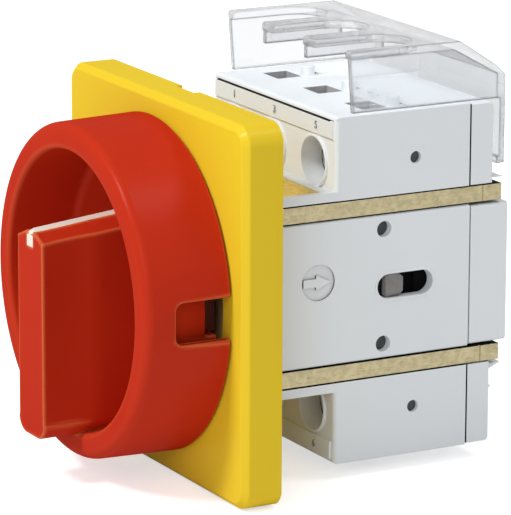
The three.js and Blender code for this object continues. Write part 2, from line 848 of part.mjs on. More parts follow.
// Face cam: two helical ramps that push the carrier back as the shaft turns
function rampSegment(fromAngle, toAngle, heightAt, base) {
  const steps = Math.max(1, Math.round((toAngle - fromAngle) / cam.stepAngle));
  const points = [];
  const corners = [];
  for (let i = 0; i <= steps; i += 1) {
    const degrees = fromAngle + ((toAngle - fromAngle) * i) / steps;
    const angle = THREE.MathUtils.degToRad(degrees);
    for (const radius of [cam.innerRadius, camRadius]) {
      points.push(-radius * Math.cos(angle), base, radius * Math.sin(angle));
      points.push(-radius * Math.cos(angle), heightAt(degrees), radius * Math.sin(angle));
    }
  }
  const around = [0, 1, 3, 2];
  for (let i = 0; i < steps; i += 1) {
    const a = i * around.length;
    const b = a + around.length;
    around.forEach((p, k) => {
      const q = around[(k + 1) % around.length];
      corners.push(a + p, a + q, b + q, a + p, b + q, b + p);
    });
  }
  const end = steps * around.length;
  const [first, second, third, fourth] = around;
  corners.push(first, third, second, first, fourth, third);
  corners.push(...[first, second, third, first, third, fourth].map((k) => end + k));
  const geometry = new THREE.BufferGeometry();
  geometry.setAttribute('position', new THREE.Float32BufferAttribute(points, 3));
  geometry.setIndex(corners);
  return solidFrom(geometry);
}

function driveCam() {
  const hub = rodAlongY(cam.hubRadius, camHubFront, camPlateBack, 0, 0, round.large);
  const disc = rodAlongY(camRadius, camPlateFront, camPlateBack, 0, 0, round.large);
  const low = -cam.noseAngle - cam.tailAngle;
  const high = cam.quarterTurn + cam.leadAngle;
  const ramps = Array.from({ length: cam.lobes }, (_, i) => rampSegment(
    low + (i * 360) / cam.lobes, high + (i * 360) / cam.lobes,
    (angle) => rampZero + (angle - (i * 360) / cam.lobes) * risePerDegree, camPlateBack - fit.gap));
  const crankAngle = THREE.MathUtils.degToRad(cam.quarterTurn / 2);
  const pin = rodAlongY(
    cam.crankPinRadius, camPlateFront - cam.crankPinLength, camPlateFront + fit.gap,
    -crankRadius * Math.cos(crankAngle), crankRadius * Math.sin(crankAngle), round.small);
  const half = shaft.square / 2 + fit.gap;
  const socket = boxBetween(-half, half, camHubFront - fit.overrun, carrierFront, -half, half);
  return cut(join(hub, disc, pin, ...ramps), socket);
}

function snapSpring() {
  const crankAngle = THREE.MathUtils.degToRad(cam.quarterTurn / 2);
  const y = camPlateFront - cam.crankPinLength / 2;
  const post = new THREE.Vector3(snapPostX, y, 0);
  const pin = new THREE.Vector3(
    -crankRadius * Math.cos(crankAngle), y, crankRadius * Math.sin(crankAngle));
  const axis = pin.clone().sub(post);
  const length = axis.length() - snap.postRadius - cam.crankPinRadius - 2 * fit.gap;
  const start = post.clone().addScaledVector(axis.clone().normalize(), snap.postRadius + fit.gap);
  return coil('snap_spring', start, axis, length, snap.coilRadius, snap.wire, snap.turns);
}

// Carrier with its two noses, three stems and the lugs that show in the side slots

function contactCarrier() {
  const halfHeight = carrier.height / 2;
  const beam = boxBetween(-carrierHalf, carrierHalf, carrierFront, carrierBack, -halfHeight, halfHeight);
  const ring = rodAlongY(camRadius, carrierFront, carrierBack, 0, 0, round.large);
  const noses = Array.from({ length: cam.lobes }, (_, i) => {
    const turn = (i * 360) / cam.lobes;
    return rampSegment(
      turn - cam.noseAngle, turn, (angle) => rampZero + fit.gap + (angle - turn) * risePerDegree,
      carrierFront + fit.gap);
  });
  const bore = rodAlongY(
    cam.innerRadius - fit.gap, carrierFront - cam.lift, shaftEnd + fit.gap, 0, 0, round.large);
  const stems = polePlaces.map((x) => {
    const stem = boxBetween(
      x - carrier.stemWidth / 2, x + carrier.stemWidth / 2, windowFront - carrier.rearCap, stemBack,
      -carrier.stemHeight / 2, carrier.stemHeight / 2);
    const neck = boxBetween(
      x - carrier.neckWidth / 2, x + carrier.neckWidth / 2, carrierBack - fit.gap, windowFront,
      -carrier.stemHeight / 2, carrier.stemHeight / 2);
    const windowHalf = carrier.stemWidth / 2 - carrier.cheek;
    const window = boxBetween(
      x - windowHalf, x + windowHalf, windowFront, windowBack, -carrier.stemHeight, carrier.stemHeight);
    return cut(join(stem, neck), window);
  });
  const lugHalf = sideSlot.height / 2 - fit.gap;
  const lugFront = sideSlot.start + fit.gap;
  const lugBack = lugFront + carrier.lugLength;
  const lugShape = outline([
    ...arcPoints(lugFront + lugHalf, 0, lugHalf, 90, 270, 2 * round.corner),
    [lugBack - carrier.lugEdge, -lugHalf],
    [lugBack, -lugHalf + carrier.lugEdge],
    [lugBack, lugHalf - carrier.lugEdge],
    [lugBack - carrier.lugEdge, lugHalf],
  ]);
  const lugRoot = cavityHalfWidth - carrier.lugOverlap;
  const lugs = [-1, 1].map((side) => {
    const tip = extrudedAlongX(lugShape, ...mirrored(side, lugRoot, bodyHalf - carrier.lugInset));
    const arm = boxBetween(
      ...mirrored(side, carrierHalf - fit.overrun, lugRoot + fit.gap), carrierBack - fit.overrun,
      lugBack - carrier.lugEdge, -lugHalf + carrier.lugEdge, lugHalf - carrier.lugEdge);
    return join(tip, arm);
  });
  return join(cut(join(beam, ring, ...noses), bore), ...stems, ...lugs);
}

function bridgeContact(x) {
  const bar = boxBetween(
    x - bridge.width / 2, x + bridge.width / 2, bridgeFront, bridgeFront + bridge.thickness,
    -bridge.length / 2, bridge.length / 2);
  const pads = [-1, 1].map((side) => rodAlongY(
    bridge.padRadius, bridgeFront - bridge.padHeight, bridgeFront + fit.gap,
    x, (side * bridge.padSpacing) / 2));
  return join(bar, ...pads);
}

function contactSpringPiece(index, x) {
  const y0 = bridgeFront + bridge.thickness + fit.gap;
  return coil(
    `contact_spring_${index}`, new THREE.Vector3(x, y0, 0), new THREE.Vector3(0, 1, 0),
    windowBack - fit.gap - y0, contactSpring.radius, contactSpring.wire, contactSpring.turns);
}

// Housings and the screws that hold them together from behind

function bodyScrewPlaces() {
  return [-1, 1].flatMap((sx) => [-1, 1].map((sz) => [sx * bodyScrewX, sz * bodyScrewZ]));
}

function columnsAndPartitions(y0, y1) {
  const columns = [-1, 1].flatMap((sx) => [-1, 1].map((sz) => boxBetween(
    ...mirrored(sx, columnInner, cavityHalfWidth + fit.gap), y0, y1,
    ...mirrored(sz, cavityHalfHeight - housing.columnHeight, cavityHalfHeight + fit.gap))));
  const walls = polePlaces.slice(1).map((x) => {
    const middle = x - poles.pitch / 2;
    return boxBetween(
      middle - housing.partition / 2, middle + housing.partition / 2, y0, y1,
      -cavityHalfHeight - fit.gap, cavityHalfHeight + fit.gap);
  });
  return [...columns, ...walls];
}

function frontHousing() {
  const high = housing.halfHeight;
  const shell = extrudedAlongY(
    roundedRectangle(-bodyHalf, bodyHalf, -high, high, housing.edge), bodyFront, housing.seam);
  const cavity = boxBetween(
    -cavityHalfWidth, cavityHalfWidth, cavityFront, housing.seam + fit.overrun,
    -cavityHalfHeight, cavityHalfHeight);
  const inside = columnsAndPartitions(housing.columnStart, housing.seam);
  const post = rodAlongY(
    snap.postRadius, cavityFront - fit.gap, cavityFront + snap.postLength, snapPostX, 0, round.small);
  const bore = rodAlongY(bush.outerRadius + fit.gap, 0, cavityFront + fit.overrun, 0, 0, round.large);
  const slotHalf = sideSlot.height / 2;
  const rimHalf = slotHalf + sideSlot.rim;
  const rimShape = roundedRectangle(
    sideSlot.start - sideSlot.rim, sideSlot.end + sideSlot.rim, -rimHalf, rimHalf, rimHalf - fit.weld);
  const rims = [-1, 1].map((side) => extrudedAlongX(
    rimShape, ...mirrored(side, bodyHalf - fit.gap, bodyHalf + sideSlot.rimHeight)));
  const slotShape = roundedRectangle(sideSlot.start, sideSlot.end, -slotHalf, slotHalf, slotHalf - fit.weld);
  const slots = [-1, 1].map((side) => extrudedAlongX(
    slotShape, ...mirrored(side, cavityHalfWidth - fit.overrun, bodyHalf + fit.overrun)));
  const dimples = [-1, 1].flatMap((side) => [-1, 1].map((up) => rodAlongX(
    dimple.radius, ...mirrored(side, bodyHalf - dimple.depth, bodyHalf + fit.overrun),
    dimple.y, up * dimple.z)));
  const leads = polePlaces.flatMap((x) => [-1, 1].map((up) => boxBetween(
    x - contact.width / 2 - fit.gap, x + contact.width / 2 + fit.gap, contact.frontY - fit.gap,
    contact.frontY + contact.thickness + fit.gap,
    ...mirrored(up, cavityHalfHeight - fit.overrun, high + fit.overrun))));
  const screwHoles = bodyScrewPlaces().map(([x, z]) => rodAlongY(
    bodyScrew.shankRadius + fit.gap, bodyScrewFront - fit.overrun, housing.seam + fit.overrun,
    x, z, round.small));
  const solid = join(cut(join(shell, ...rims), cavity), ...inside, post);
  return cut(solid, bore, ...slots, ...dimples, ...leads, ...screwHoles);
}

function rearHousing() {
  const high = housing.halfHeight - housing.seamStep;
  const front = housing.seam + fit.gap;
  const shell = extrudedAlongY(
    roundedRectangle(-bodyHalf, bodyHalf, -high, high, housing.edge), front, housing.end);
  const cavity = boxBetween(
    -cavityHalfWidth, cavityHalfWidth, front - fit.overrun, housing.end - housing.wall,
    -cavityHalfHeight, cavityHalfHeight);
  const inside = columnsAndPartitions(front, housing.end - fit.gap);
  const shanks = bodyScrewPlaces().map(([x, z]) => rodAlongY(
    bodyScrew.shankRadius + fit.gap, front - fit.overrun, housing.end, x, z, round.small));
  const heads = bodyScrewPlaces().map(([x, z]) => rodAlongY(
    bodyScrew.headRadius + fit.gap, housing.end - bodyScrew.sunk - bodyScrew.headHeight - fit.gap,
    housing.end + fit.overrun, x, z, round.medium));
  return cut(join(cut(shell, cavity), ...inside), ...shanks, ...heads);
}

function bodyScrewPiece([x, z]) {
  const back = housing.end - bodyScrew.sunk;
  const head = rodAlongY(bodyScrew.headRadius, back - bodyScrew.headHeight, back, x, z, round.medium);
  const shank = rodAlongY(
    bodyScrew.shankRadius, back - bodyScrew.length, back - bodyScrew.headHeight + fit.gap, x, z, round.small);
  const arm = bodyScrew.headRadius * driveArmShare;
  const drive = [[arm, bodyScrew.driveWidth / 2], [bodyScrew.driveWidth / 2, arm]].map(([a, b]) => boxBetween(
    x - a, x + a, back - bodyScrew.driveDepth, back + fit.overrun, z - b, z + b));
  return cut(join(head, shank), ...drive);
}

// Terminal side, built once as it stands above the housing

function steelFrame() {
  const bar = boxBetween(-bodyHalf, bodyHalf, frameBar.front, frameBar.end, frameBottom, frameTop);
  const padHalf = railInner - fit.gap;
  const pad = boxBetween(-padHalf, padHalf, frameBar.front, frameBar.padEnd, frameBottom, padTop);
  const windows = polePlaces.map((x) => boxBetween(
    x - frameBar.holeWidth / 2, x + frameBar.holeWidth / 2,
    contact.frontY + contact.thickness / 2 - frameBar.holeLength / 2,
    contact.frontY + contact.thickness / 2 + frameBar.holeLength / 2,
    frameBottom - fit.overrun, frameTop + fit.overrun));
  const threads = [-1, 1].map((side) => rodAlongY(
    fixing.shankRadius + fit.gap, frameBar.front - fit.overrun, frameBar.padEnd + fit.overrun,
    side * fixingX, fixingZ, round.small));
  const creases = [-1, 1].map((side) => boxBetween(
    ...mirrored(side, bodyHalf - frameBar.creaseDepth, bodyHalf + fit.overrun), frameBar.crease,
    frameBar.crease + frameBar.creaseWidth, frameBottom - fit.overrun, frameTop + fit.overrun));
  return cut(join(bar, pad), ...windows, ...threads, ...creases);
}

function terminalBlock() {
  const side = outline([
    [block.front, blockBottom],
    [block.seam, blockBottom],
    [block.seam, blockTop],
    ...arcPoints(block.front + block.edge, blockTop - block.edge, block.edge, 90, 180),
  ]);
  const shell = extrudedAlongX(side, -bodyHalf, bodyHalf);
  const faceBack = block.front + fit.gap;
  const rails = [-1, 1].map((s) => boxBetween(
    ...mirrored(s, railInner, bodyHalf), frameBar.front, faceBack, blockBottom, railTop));
  const lip = boxBetween(
    -bodyHalf, bodyHalf, block.front - block.lip, faceBack, blockBottom, railTop);
  const band = boxBetween(
    -bodyHalf + block.relief, bodyHalf - block.relief, block.front - block.relief, faceBack,
    bandBottom, blockTop - block.edge);
  const collars = polePlaces.map((x) => rodAlongY(
    block.collarRadius, block.front - block.relief, faceBack, x, terminalZ, round.bore));
  const posts = polePlaces.map((x) => rodAlongZ(
    block.postRadius, blockTop - fit.gap, blockTop + block.postHeight, x + block.postOffset,
    block.wireBack + block.postRadius + fit.gap, round.small));
  const sleeveX = contact.width / 2 + fit.gap + block.sleeveWall;
  const sleeveY = contact.thickness / 2 + fit.gap + block.sleeveWall;
  const leadY = contact.frontY + contact.thickness / 2;
  const sleeves = polePlaces.map((x) => boxBetween(
    x - sleeveX, x + sleeveX, leadY - sleeveY, leadY + sleeveY, frameBottom, blockBottom + fit.gap));
  const solid = join(shell, ...rails, lip, band, ...collars, ...posts, ...sleeves);

  const chambers = polePlaces.map((x) => boxBetween(
    x - chamberHalf, x + chamberHalf, block.chamberFront, block.seam + fit.overrun,
    blockBottom + block.bottomWall, blockTop - block.topWall));
  const dishes = polePlaces.map((x) => rodAlongY(
    block.dishRadius, block.front - fit.overrun, block.front + block.dishDepth,
    x, terminalZ, round.bore));
  const bores = polePlaces.map((x) => rodAlongY(
    block.boreRadius, block.front - fit.overrun, block.chamberFront + fit.overrun,
    x, terminalZ, round.bore));
  const wireWays = polePlaces.map((x) => boxBetween(
    x - block.wireWidth / 2, x + block.wireWidth / 2, block.wireFront, block.wireBack,
    blockTop - block.topWall - fit.overrun, blockTop + fit.overrun));
  const leads = polePlaces.map((x) => boxBetween(
    x - contact.width / 2 - fit.gap, x + contact.width / 2 + fit.gap, contact.frontY - fit.gap,
    contact.frontY + contact.thickness + fit.gap, 0, blockBottom + block.bottomWall + fit.overrun));
  const marks = polePlaces.map((x) => {
    const y = block.wireBack + 2 * block.postRadius + block.slotWidth;
    return boxBetween(
      x - block.slotLength / 2, x + block.slotLength / 2, y, y + block.slotWidth,
      blockTop - block.slotDepth, blockTop + fit.overrun);
  });
  const sideHoles = [-1, 1].map((s) => rodAlongX(
    block.sideHoleRadius, ...mirrored(s, bodyHalf - block.sideHoleDepth, bodyHalf + fit.overrun),
    block.sideHoleY, sideHoleZ));
  return cut(solid, ...chambers, ...dishes, ...bores, ...wireWays, ...leads, ...marks, ...sideHoles);
}

function terminalCap() {
  const front = block.seam + fit.gap;
  const top = blockTop - fit.gap;
  const side = outline([
    [front, blockBottom],
    [block.end, blockBottom],
    ...arcPoints(block.end - block.edge, top - block.edge, block.edge, 0, 90),
    [front, top],
  ]);
  const plateSolid = extrudedAlongX(side, -bodyHalf, bodyHalf);
  const middle = (blockBottom + blockTop) / 2;
  const tongues = polePlaces.map((x) => boxBetween(
    x - cap.tongueWidth / 2, x + cap.tongueWidth / 2, front - cap.tongueReach, front + fit.gap,
    middle - cap.tongueHeight / 2, middle + cap.tongueHeight / 2));
  const pocketHalf = chamberHalf - block.edge;
  const pockets = polePlaces.map((x) => boxBetween(
    x - pocketHalf, x + pocketHalf, block.end - cap.pocketDepth, block.end + fit.overrun,
    blockBottom + cap.pocketRise, top - block.topWall - block.edge));
  const wall = block.end - fit.gap;
  const ledgeTop = skirtEnd - cover.hookHeight - fit.gap;
  const catchFoot = hookTop + fit.gap;
  const ledge = outline([
    [wall, ledgeTop],
    [wall, ledgeTop - cap.ledgeHeight],
    [block.end + cap.ledgeReach, ledgeTop - cap.ledgeHeight],
  ]);
  const catchShape = outline([
    [wall, catchFoot + cap.catchHeight],
    [wall, catchFoot],
    [block.end + cap.catchReach, catchFoot],
  ]);
  const wedges = [-1, 1].flatMap((s) => [ledge, catchShape].map((shape) => extrudedAlongX(
    shape, ...mirrored(s, railInner - cap.catchWidth, railInner))));
  return cut(join(plateSolid, ...tongues, ...wedges), ...pockets);
}

function fixedContact(x) {
  const back = contact.frontY + contact.thickness;
  const clampBack = contact.clampY + contact.thickness;
  const strip = extrudedAlongX(outline([
    [contact.frontY, contact.reach],
    [back, contact.reach],
    [back, jogZ + contact.thickness],
    [clampBack, jogZ + contact.thickness],
    [clampBack, contactTop],
    [contact.clampY, contactTop],
    [contact.clampY, jogZ],
    [contact.frontY, jogZ],
  ]), x - contact.width / 2, x + contact.width / 2);
  const pad = rodAlongY(bridge.padRadius, back - fit.gap, back + contact.padHeight, x, bridge.padSpacing / 2);
  return join(strip, pad);
}

function cageClamp(x) {
  const inner = clamp.width / 2 - clamp.side;
  const frontY = block.wireFront - clamp.frontWall;
  const backY = contact.clampY + contact.thickness + fit.gap;
  const z0 = terminalZ - clamp.height / 2;
  const z1 = terminalZ + clamp.height / 2;
  const shape = roundedRectangle(
    x - clamp.width / 2, x + clamp.width / 2, frontY, backY + clamp.rearWall, clamp.side);
  const ring = extrudedAlongZ(shape, z0, z1);
  const way = boxBetween(x - inner, x + inner, block.wireFront, backY, z0 - fit.overrun, z1 + fit.overrun);
  const thread = rodAlongY(
    screw.shankRadius + fit.gap, frontY - fit.overrun, block.wireFront + fit.overrun,
    x, terminalZ, round.medium);
  return cut(ring, way, thread);
}

function terminalScrew(x) {
  const sizes = { ...screw, length: block.wireFront - screw.headY };
  return slottedScrew(sizes, screw.headY, x, terminalZ, round.medium);
}

// Clear cover over the upper terminals

function terminalCover() {
  const inner = bodyHalf - cover.wall;
  const roofUnder = coverTop - cover.roof;
  const cornerY = cover.front + cover.cornerRadius;
  const side = outline([
    ...arcPoints(cornerY, coverTop - cover.cornerRadius, cover.cornerRadius, 180, 90),
    [cover.roofEnd, coverTop],
    [cover.slopeEnd, slopeZ],
    [cover.back, slopeZ - (cover.back - cover.slopeEnd)],
    [cover.back, skirtEnd],
    [cover.back - cover.wall, skirtEnd],
    [cover.back - cover.wall, coverBottom],
    [cover.front + cover.lean, coverBottom],
  ]);
  const shell = extrudedAlongX(side, -bodyHalf, bodyHalf);
  const backInner = cover.back - cover.wall;
  const hollow = extrudedAlongX(outline([
    [cover.front - fit.overrun, coverBottom - fit.overrun],
    [cover.front - fit.overrun, roofUnder],
    [cover.roofEnd - cover.roof / 2, roofUnder],
    [backInner, slopeZ - cover.roof],
    [backInner, coverBottom - fit.overrun],
  ]), -inner, inner);
  const slots = polePlaces.map((x) => {
    const shape = roundedRectangle(
      x - cover.slotWidth / 2, x + cover.slotWidth / 2, cover.front - cover.slotWidth, cover.slotEnd,
      cover.slotWidth / 2 - fit.weld);
    return extrudedAlongZ(shape, roofUnder - fit.overrun, coverTop + fit.overrun);
  });
  const webs = polePlaces.slice(1).map((x) => {
    const middle = x - poles.pitch / 2 - cover.webOffset;
    return boxBetween(
      middle - cover.webThickness / 2, middle + cover.webThickness / 2, cover.front, cover.slotEnd,
      coverTop - cover.webDepth, roofUnder + fit.gap);
  });
  const hook = boxBetween(
    -bodyHalf, bodyHalf, cover.back - cover.hook, cover.back - cover.wall + fit.gap, skirtEnd,
    skirtEnd + cover.hookHeight);
  return join(cut(shell, hollow, ...slots), ...webs, hook);
}

// The whole switch

const rotaryIsolatorSwitch = new THREE.Group();
rotaryIsolatorSwitch.name = 'rotary_isolator_switch';

function addFront(group) {
  group.add(pieceOf('front_plate', frontPlate(), finish.yellow));
  group.add(pieceOf('panel_seal', panelSeal(), finish.rubber));
  group.add(pieceOf('shaft_seal', sealRing(), finish.rubber));
  group.add(pieceOf('lock_ring', lockRingPiece(), finish.black));
  fixingPlaces().forEach((place, i) => {
    group.add(pieceOf(`fixing_screw_${i + 1}`, fixingScrew(place), finish.steel));
  });
}

function addHandle(group) {
  group.add(pieceOf('knob', knobPiece(), finish.red));
  group.add(pieceOf('knob_pointer', pointerSolid(0), finish.white));
  group.add(pieceOf('padlock_slide', padlockSlide(), finish.black));
  group.add(pieceOf('padlock_spring', padlockReturn(), finish.steel));
  group.add(pieceOf('drive_shaft', driveShaft(), finish.steel));
  group.add(pieceOf('knob_clip', knobClip(), finish.steel));
  group.add(pieceOf('drive_cam', driveCam(), finish.black));
  group.add(pieceOf('snap_spring', snapSpring(), finish.steel));
}

function addMechanism(group) {
  group.add(pieceOf('front_housing', frontHousing(), finish.grey));
  group.add(pieceOf('rear_housing', rearHousing(), finish.grey));
  group.add(pieceOf('shaft_bush', shaftBush(), finish.black));
  bodyScrewPlaces().forEach((place, i) => {
    group.add(pieceOf(`body_screw_${i + 1}`, bodyScrewPiece(place), finish.steel));
  });
  group.add(pieceOf('contact_carrier', contactCarrier(), finish.carrierGrey));
  polePlaces.forEach((x, i) => {
    group.add(pieceOf(`bridge_contact_${i + 1}`, bridgeContact(x), finish.copper));
    group.add(pieceOf(`contact_spring_${i + 1}`, contactSpringPiece(i + 1, x), finish.steel));
  });
}

function terminalSide(level, turned) {
  const group = new THREE.Group();
  const add = (name, solid, material) => group.add(pieceOf(`${level}_${name}`, solid, material));
  add('frame', steelFrame(), finish.chromate);
  add('terminal_block', terminalBlock(), finish.grey);
  add('terminal_cap', terminalCap(), finish.grey);
  polePlaces.forEach((place, i) => {
    const x = turned ? -place : place;
    add(`contact_${i + 1}`, fixedContact(x), finish.copper);
    add(`clamp_${i + 1}`, cageClamp(x), finish.steel);
    add(`screw_${i + 1}`, terminalScrew(x), finish.steel);
  });
  if (turned) group.rotation.y = Math.PI;
  return group;
}

addFront(rotaryIsolatorSwitch);
addHandle(rotaryIsolatorSwitch);
addMechanism(rotaryIsolatorSwitch);
rotaryIsolatorSwitch.add(terminalSide('upper', false));
rotaryIsolatorSwitch.add(terminalSide('lower', true));
rotaryIsolatorSwitch.add(pieceOf('terminal_cover', terminalCover(), finish.clear));

export default rotaryIsolatorSwitch;
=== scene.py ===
# Looks of the rotary isolator switch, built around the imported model.
# Sizes are in millimetres and turned into metres by mm. X right, Y to the back, Z up.
import json
import math

import bmesh
import bpy
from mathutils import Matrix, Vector


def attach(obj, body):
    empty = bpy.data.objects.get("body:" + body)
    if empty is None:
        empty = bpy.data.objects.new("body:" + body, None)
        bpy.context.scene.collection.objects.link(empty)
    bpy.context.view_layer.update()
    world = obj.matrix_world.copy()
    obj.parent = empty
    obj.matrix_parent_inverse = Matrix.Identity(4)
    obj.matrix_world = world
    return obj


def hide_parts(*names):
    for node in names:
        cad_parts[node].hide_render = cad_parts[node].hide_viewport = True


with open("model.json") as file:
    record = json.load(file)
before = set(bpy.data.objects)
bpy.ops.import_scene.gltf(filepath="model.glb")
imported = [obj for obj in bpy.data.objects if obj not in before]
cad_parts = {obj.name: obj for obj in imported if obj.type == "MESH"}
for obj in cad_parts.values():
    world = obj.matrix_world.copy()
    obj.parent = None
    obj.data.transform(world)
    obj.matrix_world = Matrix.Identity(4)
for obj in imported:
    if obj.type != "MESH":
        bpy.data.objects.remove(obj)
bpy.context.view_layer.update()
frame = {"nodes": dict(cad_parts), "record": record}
print("frame loaded:", len(frame["nodes"]), "nodes")

mm = 0.001
weld = 0.002 * mm   # points nearer than this become one
over = 1            # how far a cutting tool reaches past the face that it opens
bite = 0.3          # how far a joined tool reaches into its piece
close = 0.02        # edges are looked for this near to their place
beside = 0.05       # faces to be painted likewise
straight = 0.9      # a direction along an axis has at least this share of it
sharp = 40          # edges that turn outwards by more degrees than this get a rim
sides = (-1, 1)
corners = [(sx, sz) for sx in sides for sz in sides]


# Tools for modelling by hand

def clearSelection():
    if bpy.context.mode != 'OBJECT':
        bpy.ops.object.mode_set(mode='OBJECT')
    bpy.ops.object.select_all(action='DESELECT')


def focus(piece):
    clearSelection()
    piece.select_set(True)
    bpy.context.view_layer.objects.active = piece


def settle(piece):
    focus(piece)
    bpy.ops.object.transform_apply(location=True, rotation=True, scale=True)
    return piece


def editAll(piece):
    focus(piece)
    bpy.ops.object.mode_set(mode='EDIT')
    bpy.ops.mesh.select_mode(type='VERT')
    bpy.ops.mesh.select_all(action='SELECT')


def closeEdit(piece):
    bpy.ops.mesh.select_all(action='SELECT')
    bpy.ops.mesh.remove_doubles(threshold=weld)
    bpy.ops.mesh.normals_make_consistent(inside=False)
    bpy.ops.object.mode_set(mode='OBJECT')
    return piece


def block(name, x0, x1, y0, y1, z0, z1):
    x0, x1 = sorted((x0, x1))
    z0, z1 = sorted((z0, z1))
    clearSelection()
    middle = ((x0 + x1) / 2 * mm, (y0 + y1) / 2 * mm, (z0 + z1) / 2 * mm)
    bpy.ops.mesh.primitive_cube_add(size=mm, location=middle)
    piece = bpy.context.object
    piece.name = name
    piece.scale = (x1 - x0, y1 - y0, z1 - z0)
    return settle(piece)


def barAt(name, x, half, y0, y1, z0, z1):
    return block(name, x - half, x + half, y0, y1, z0, z1)


def rod(name, axis, radius, start, end, a, b, sides=48):
    # a and b are the other two places, in the order of X, Y, Z
    clearSelection()
    half = (start + end) / 2
    place = {'X': (half, a, b), 'Y': (a, half, b), 'Z': (a, b, half)}[axis]
    turn = {'X': (0, math.pi / 2, 0), 'Y': (-math.pi / 2, 0, 0), 'Z': (0, 0, 0)}[axis]
    bpy.ops.mesh.primitive_cone_add(
        vertices=sides, radius1=radius * mm, radius2=radius * mm, depth=abs(end - start) * mm,
        location=[v * mm for v in place], rotation=turn)
    piece = bpy.context.object
    piece.name = name
    return settle(piece)


def polyline(name, points):
    # one vertex, extruded from point to point
    clearSelection()
    last = Vector(points[0]) * mm
    bpy.ops.mesh.primitive_plane_add(size=mm, location=last)
    piece = bpy.context.object
    piece.name = name
    editAll(settle(piece))
    bpy.ops.mesh.merge(type='CENTER')
    for point in points[1:]:
        here = Vector(point) * mm
        bpy.ops.mesh.extrude_region_move(TRANSFORM_OT_translate={"value": here - last})
        last = here
    return piece


def prism(name, axis, points, start, end):
    # a flat outline pushed along an axis; the outline's two places in the order of X, Y, Z
    def spot(a, b):
        return {'X': (start, a, b), 'Y': (a, start, b), 'Z': (a, b, start)}[axis]
    piece = polyline(name, [spot(a, b) for a, b in points])
    bpy.ops.mesh.select_all(action='SELECT')
    bpy.ops.mesh.edge_face_add()
    push = [(end - start) * mm if axis == letter else 0 for letter in 'XYZ']
    bpy.ops.mesh.extrude_region_move(TRANSFORM_OT_translate={"value": push})
    return closeEdit(piece)


def turned(name, profile, steps):
    # radius and Y of each point, spun about the shaft's axis
    piece = polyline(name, [(r, y, 0) for r, y in profile])
    bpy.ops.mesh.select_all(action='SELECT')
    bpy.ops.mesh.spin(steps=steps, angle=2 * math.pi, center=(0, 0, 0), axis=(0, 1, 0))
    return closeEdit(piece)


def arc(a, b, radius, fromAngle, toAngle, steps):
    spots = []
    for i in range(steps + 1):
        angle = math.radians(fromAngle + (toAngle - fromAngle) * i / steps)
        spots.append((a + radius * math.cos(angle), b + radius * math.sin(angle)))
    return spots


def roundedOutline(a0, a1, b0, b1, radius, steps=10):
    left, right, low, high = a0 + radius, a1 - radius, b0 + radius, b1 - radius
    spots = []
    for turn, (a, b) in enumerate(((right, low), (right, high), (left, high), (left, low))):
        spots += arc(a, b, radius, 90 * turn - 90, 90 * turn, steps)
    return spots


def gather(*tools):
    # several tools that don't touch become one
    clearSelection()
    for tool in tools:
        tool.select_set(True)
    bpy.context.view_layer.objects.active = tools[0]
    if len(tools) > 1:
        bpy.ops.object.join()
    return tools[0]


def combine(piece, tool, operation):
    change = piece.modifiers.new("combine", 'BOOLEAN')
    change.operation = operation
    change.object = tool
    change.solver = 'EXACT'
    focus(piece)
    bpy.ops.object.modifier_apply(modifier=change.name)
    bpy.data.objects.remove(tool, do_unlink=True)
    return piece


def cutAway(piece, *tools):
    return combine(piece, gather(*tools), 'DIFFERENCE')


def addOn(piece, *tools):
    return combine(piece, gather(*tools), 'UNION')


def bevelEdges(piece, test, width, segments=3, least=0):
    # edges are chosen by their middle and direction in millimetres, and by how far they turn outwards
    focus(piece)
    bpy.ops.object.mode_set(mode='EDIT')
    bpy.ops.mesh.select_mode(type='EDGE')
    bpy.ops.mesh.select_all(action='DESELECT')
    mesh = bmesh.from_edit_mesh(piece.data)
    for edge in mesh.edges:
        ends = [v.co / mm for v in edge.verts]
        turn = math.degrees(edge.calc_face_angle_signed(0))
        edge.select_set(turn > least and test((ends[0] + ends[1]) / 2, (ends[1] - ends[0]).normalized()))
    bmesh.update_edit_mesh(piece.data)
    bpy.ops.mesh.bevel(offset=width * mm, segments=segments, affect='EDGES', clamp_overlap=False)
    return closeEdit(piece)


def roundRims(piece, test, width, segments=3):
    # the sharp outer edges of holes and steps
    return bevelEdges(piece, test, width, segments, sharp)


def moveVertices(piece, place):
    # each vertex goes to the place worked out from its own, in millimetres
    for vertex in piece.data.vertices:
        vertex.co = Vector(place(vertex.co / mm)) * mm
    return piece


def sliceAt(piece, cuts, normal):
    editAll(piece)
    for spot in cuts:
        bpy.ops.mesh.select_all(action='SELECT')
        bpy.ops.mesh.bisect(plane_co=[v * mm for v in spot], plane_no=normal)
    return closeEdit(piece)


def soften(piece, width, segments=2, angle=30):
    change = piece.modifiers.new("soften", 'BEVEL')
    change.width = width * mm
    change.segments = segments
    change.limit_method = 'ANGLE'
    change.angle_limit = math.radians(angle)
    change.miter_outer = 'MITER_ARC'
    change.use_clamp_overlap = True
    focus(piece)
    bpy.ops.object.modifier_apply(modifier=change.name)
    return smoothFlats(piece)


def smoothFlats(piece, smooth=35):
    # rounded edges shade softly while broad faces stay flat
    focus(piece)
    bpy.ops.object.shade_smooth_by_angle(angle=math.radians(smooth))
    change = piece.modifiers.new("flats", 'WEIGHTED_NORMAL')
    change.weight = 90
    change.keep_sharp = True
    bpy.ops.object.modifier_apply(modifier=change.name)
    return piece


def newPiece(name, mesh):
    piece = bpy.data.objects.new(name, mesh.copy())
    bpy.context.collection.objects.link(piece)
    editAll(piece)
    return piece


def copyOf(node, name):
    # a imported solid's own shape, to be worked on
    piece = newPiece(name, frame["nodes"][node].data)
    bpy.ops.mesh.remove_doubles(threshold=weld)
    bpy.ops.object.mode_set(mode='OBJECT')
    piece.data.materials.clear()
    return piece


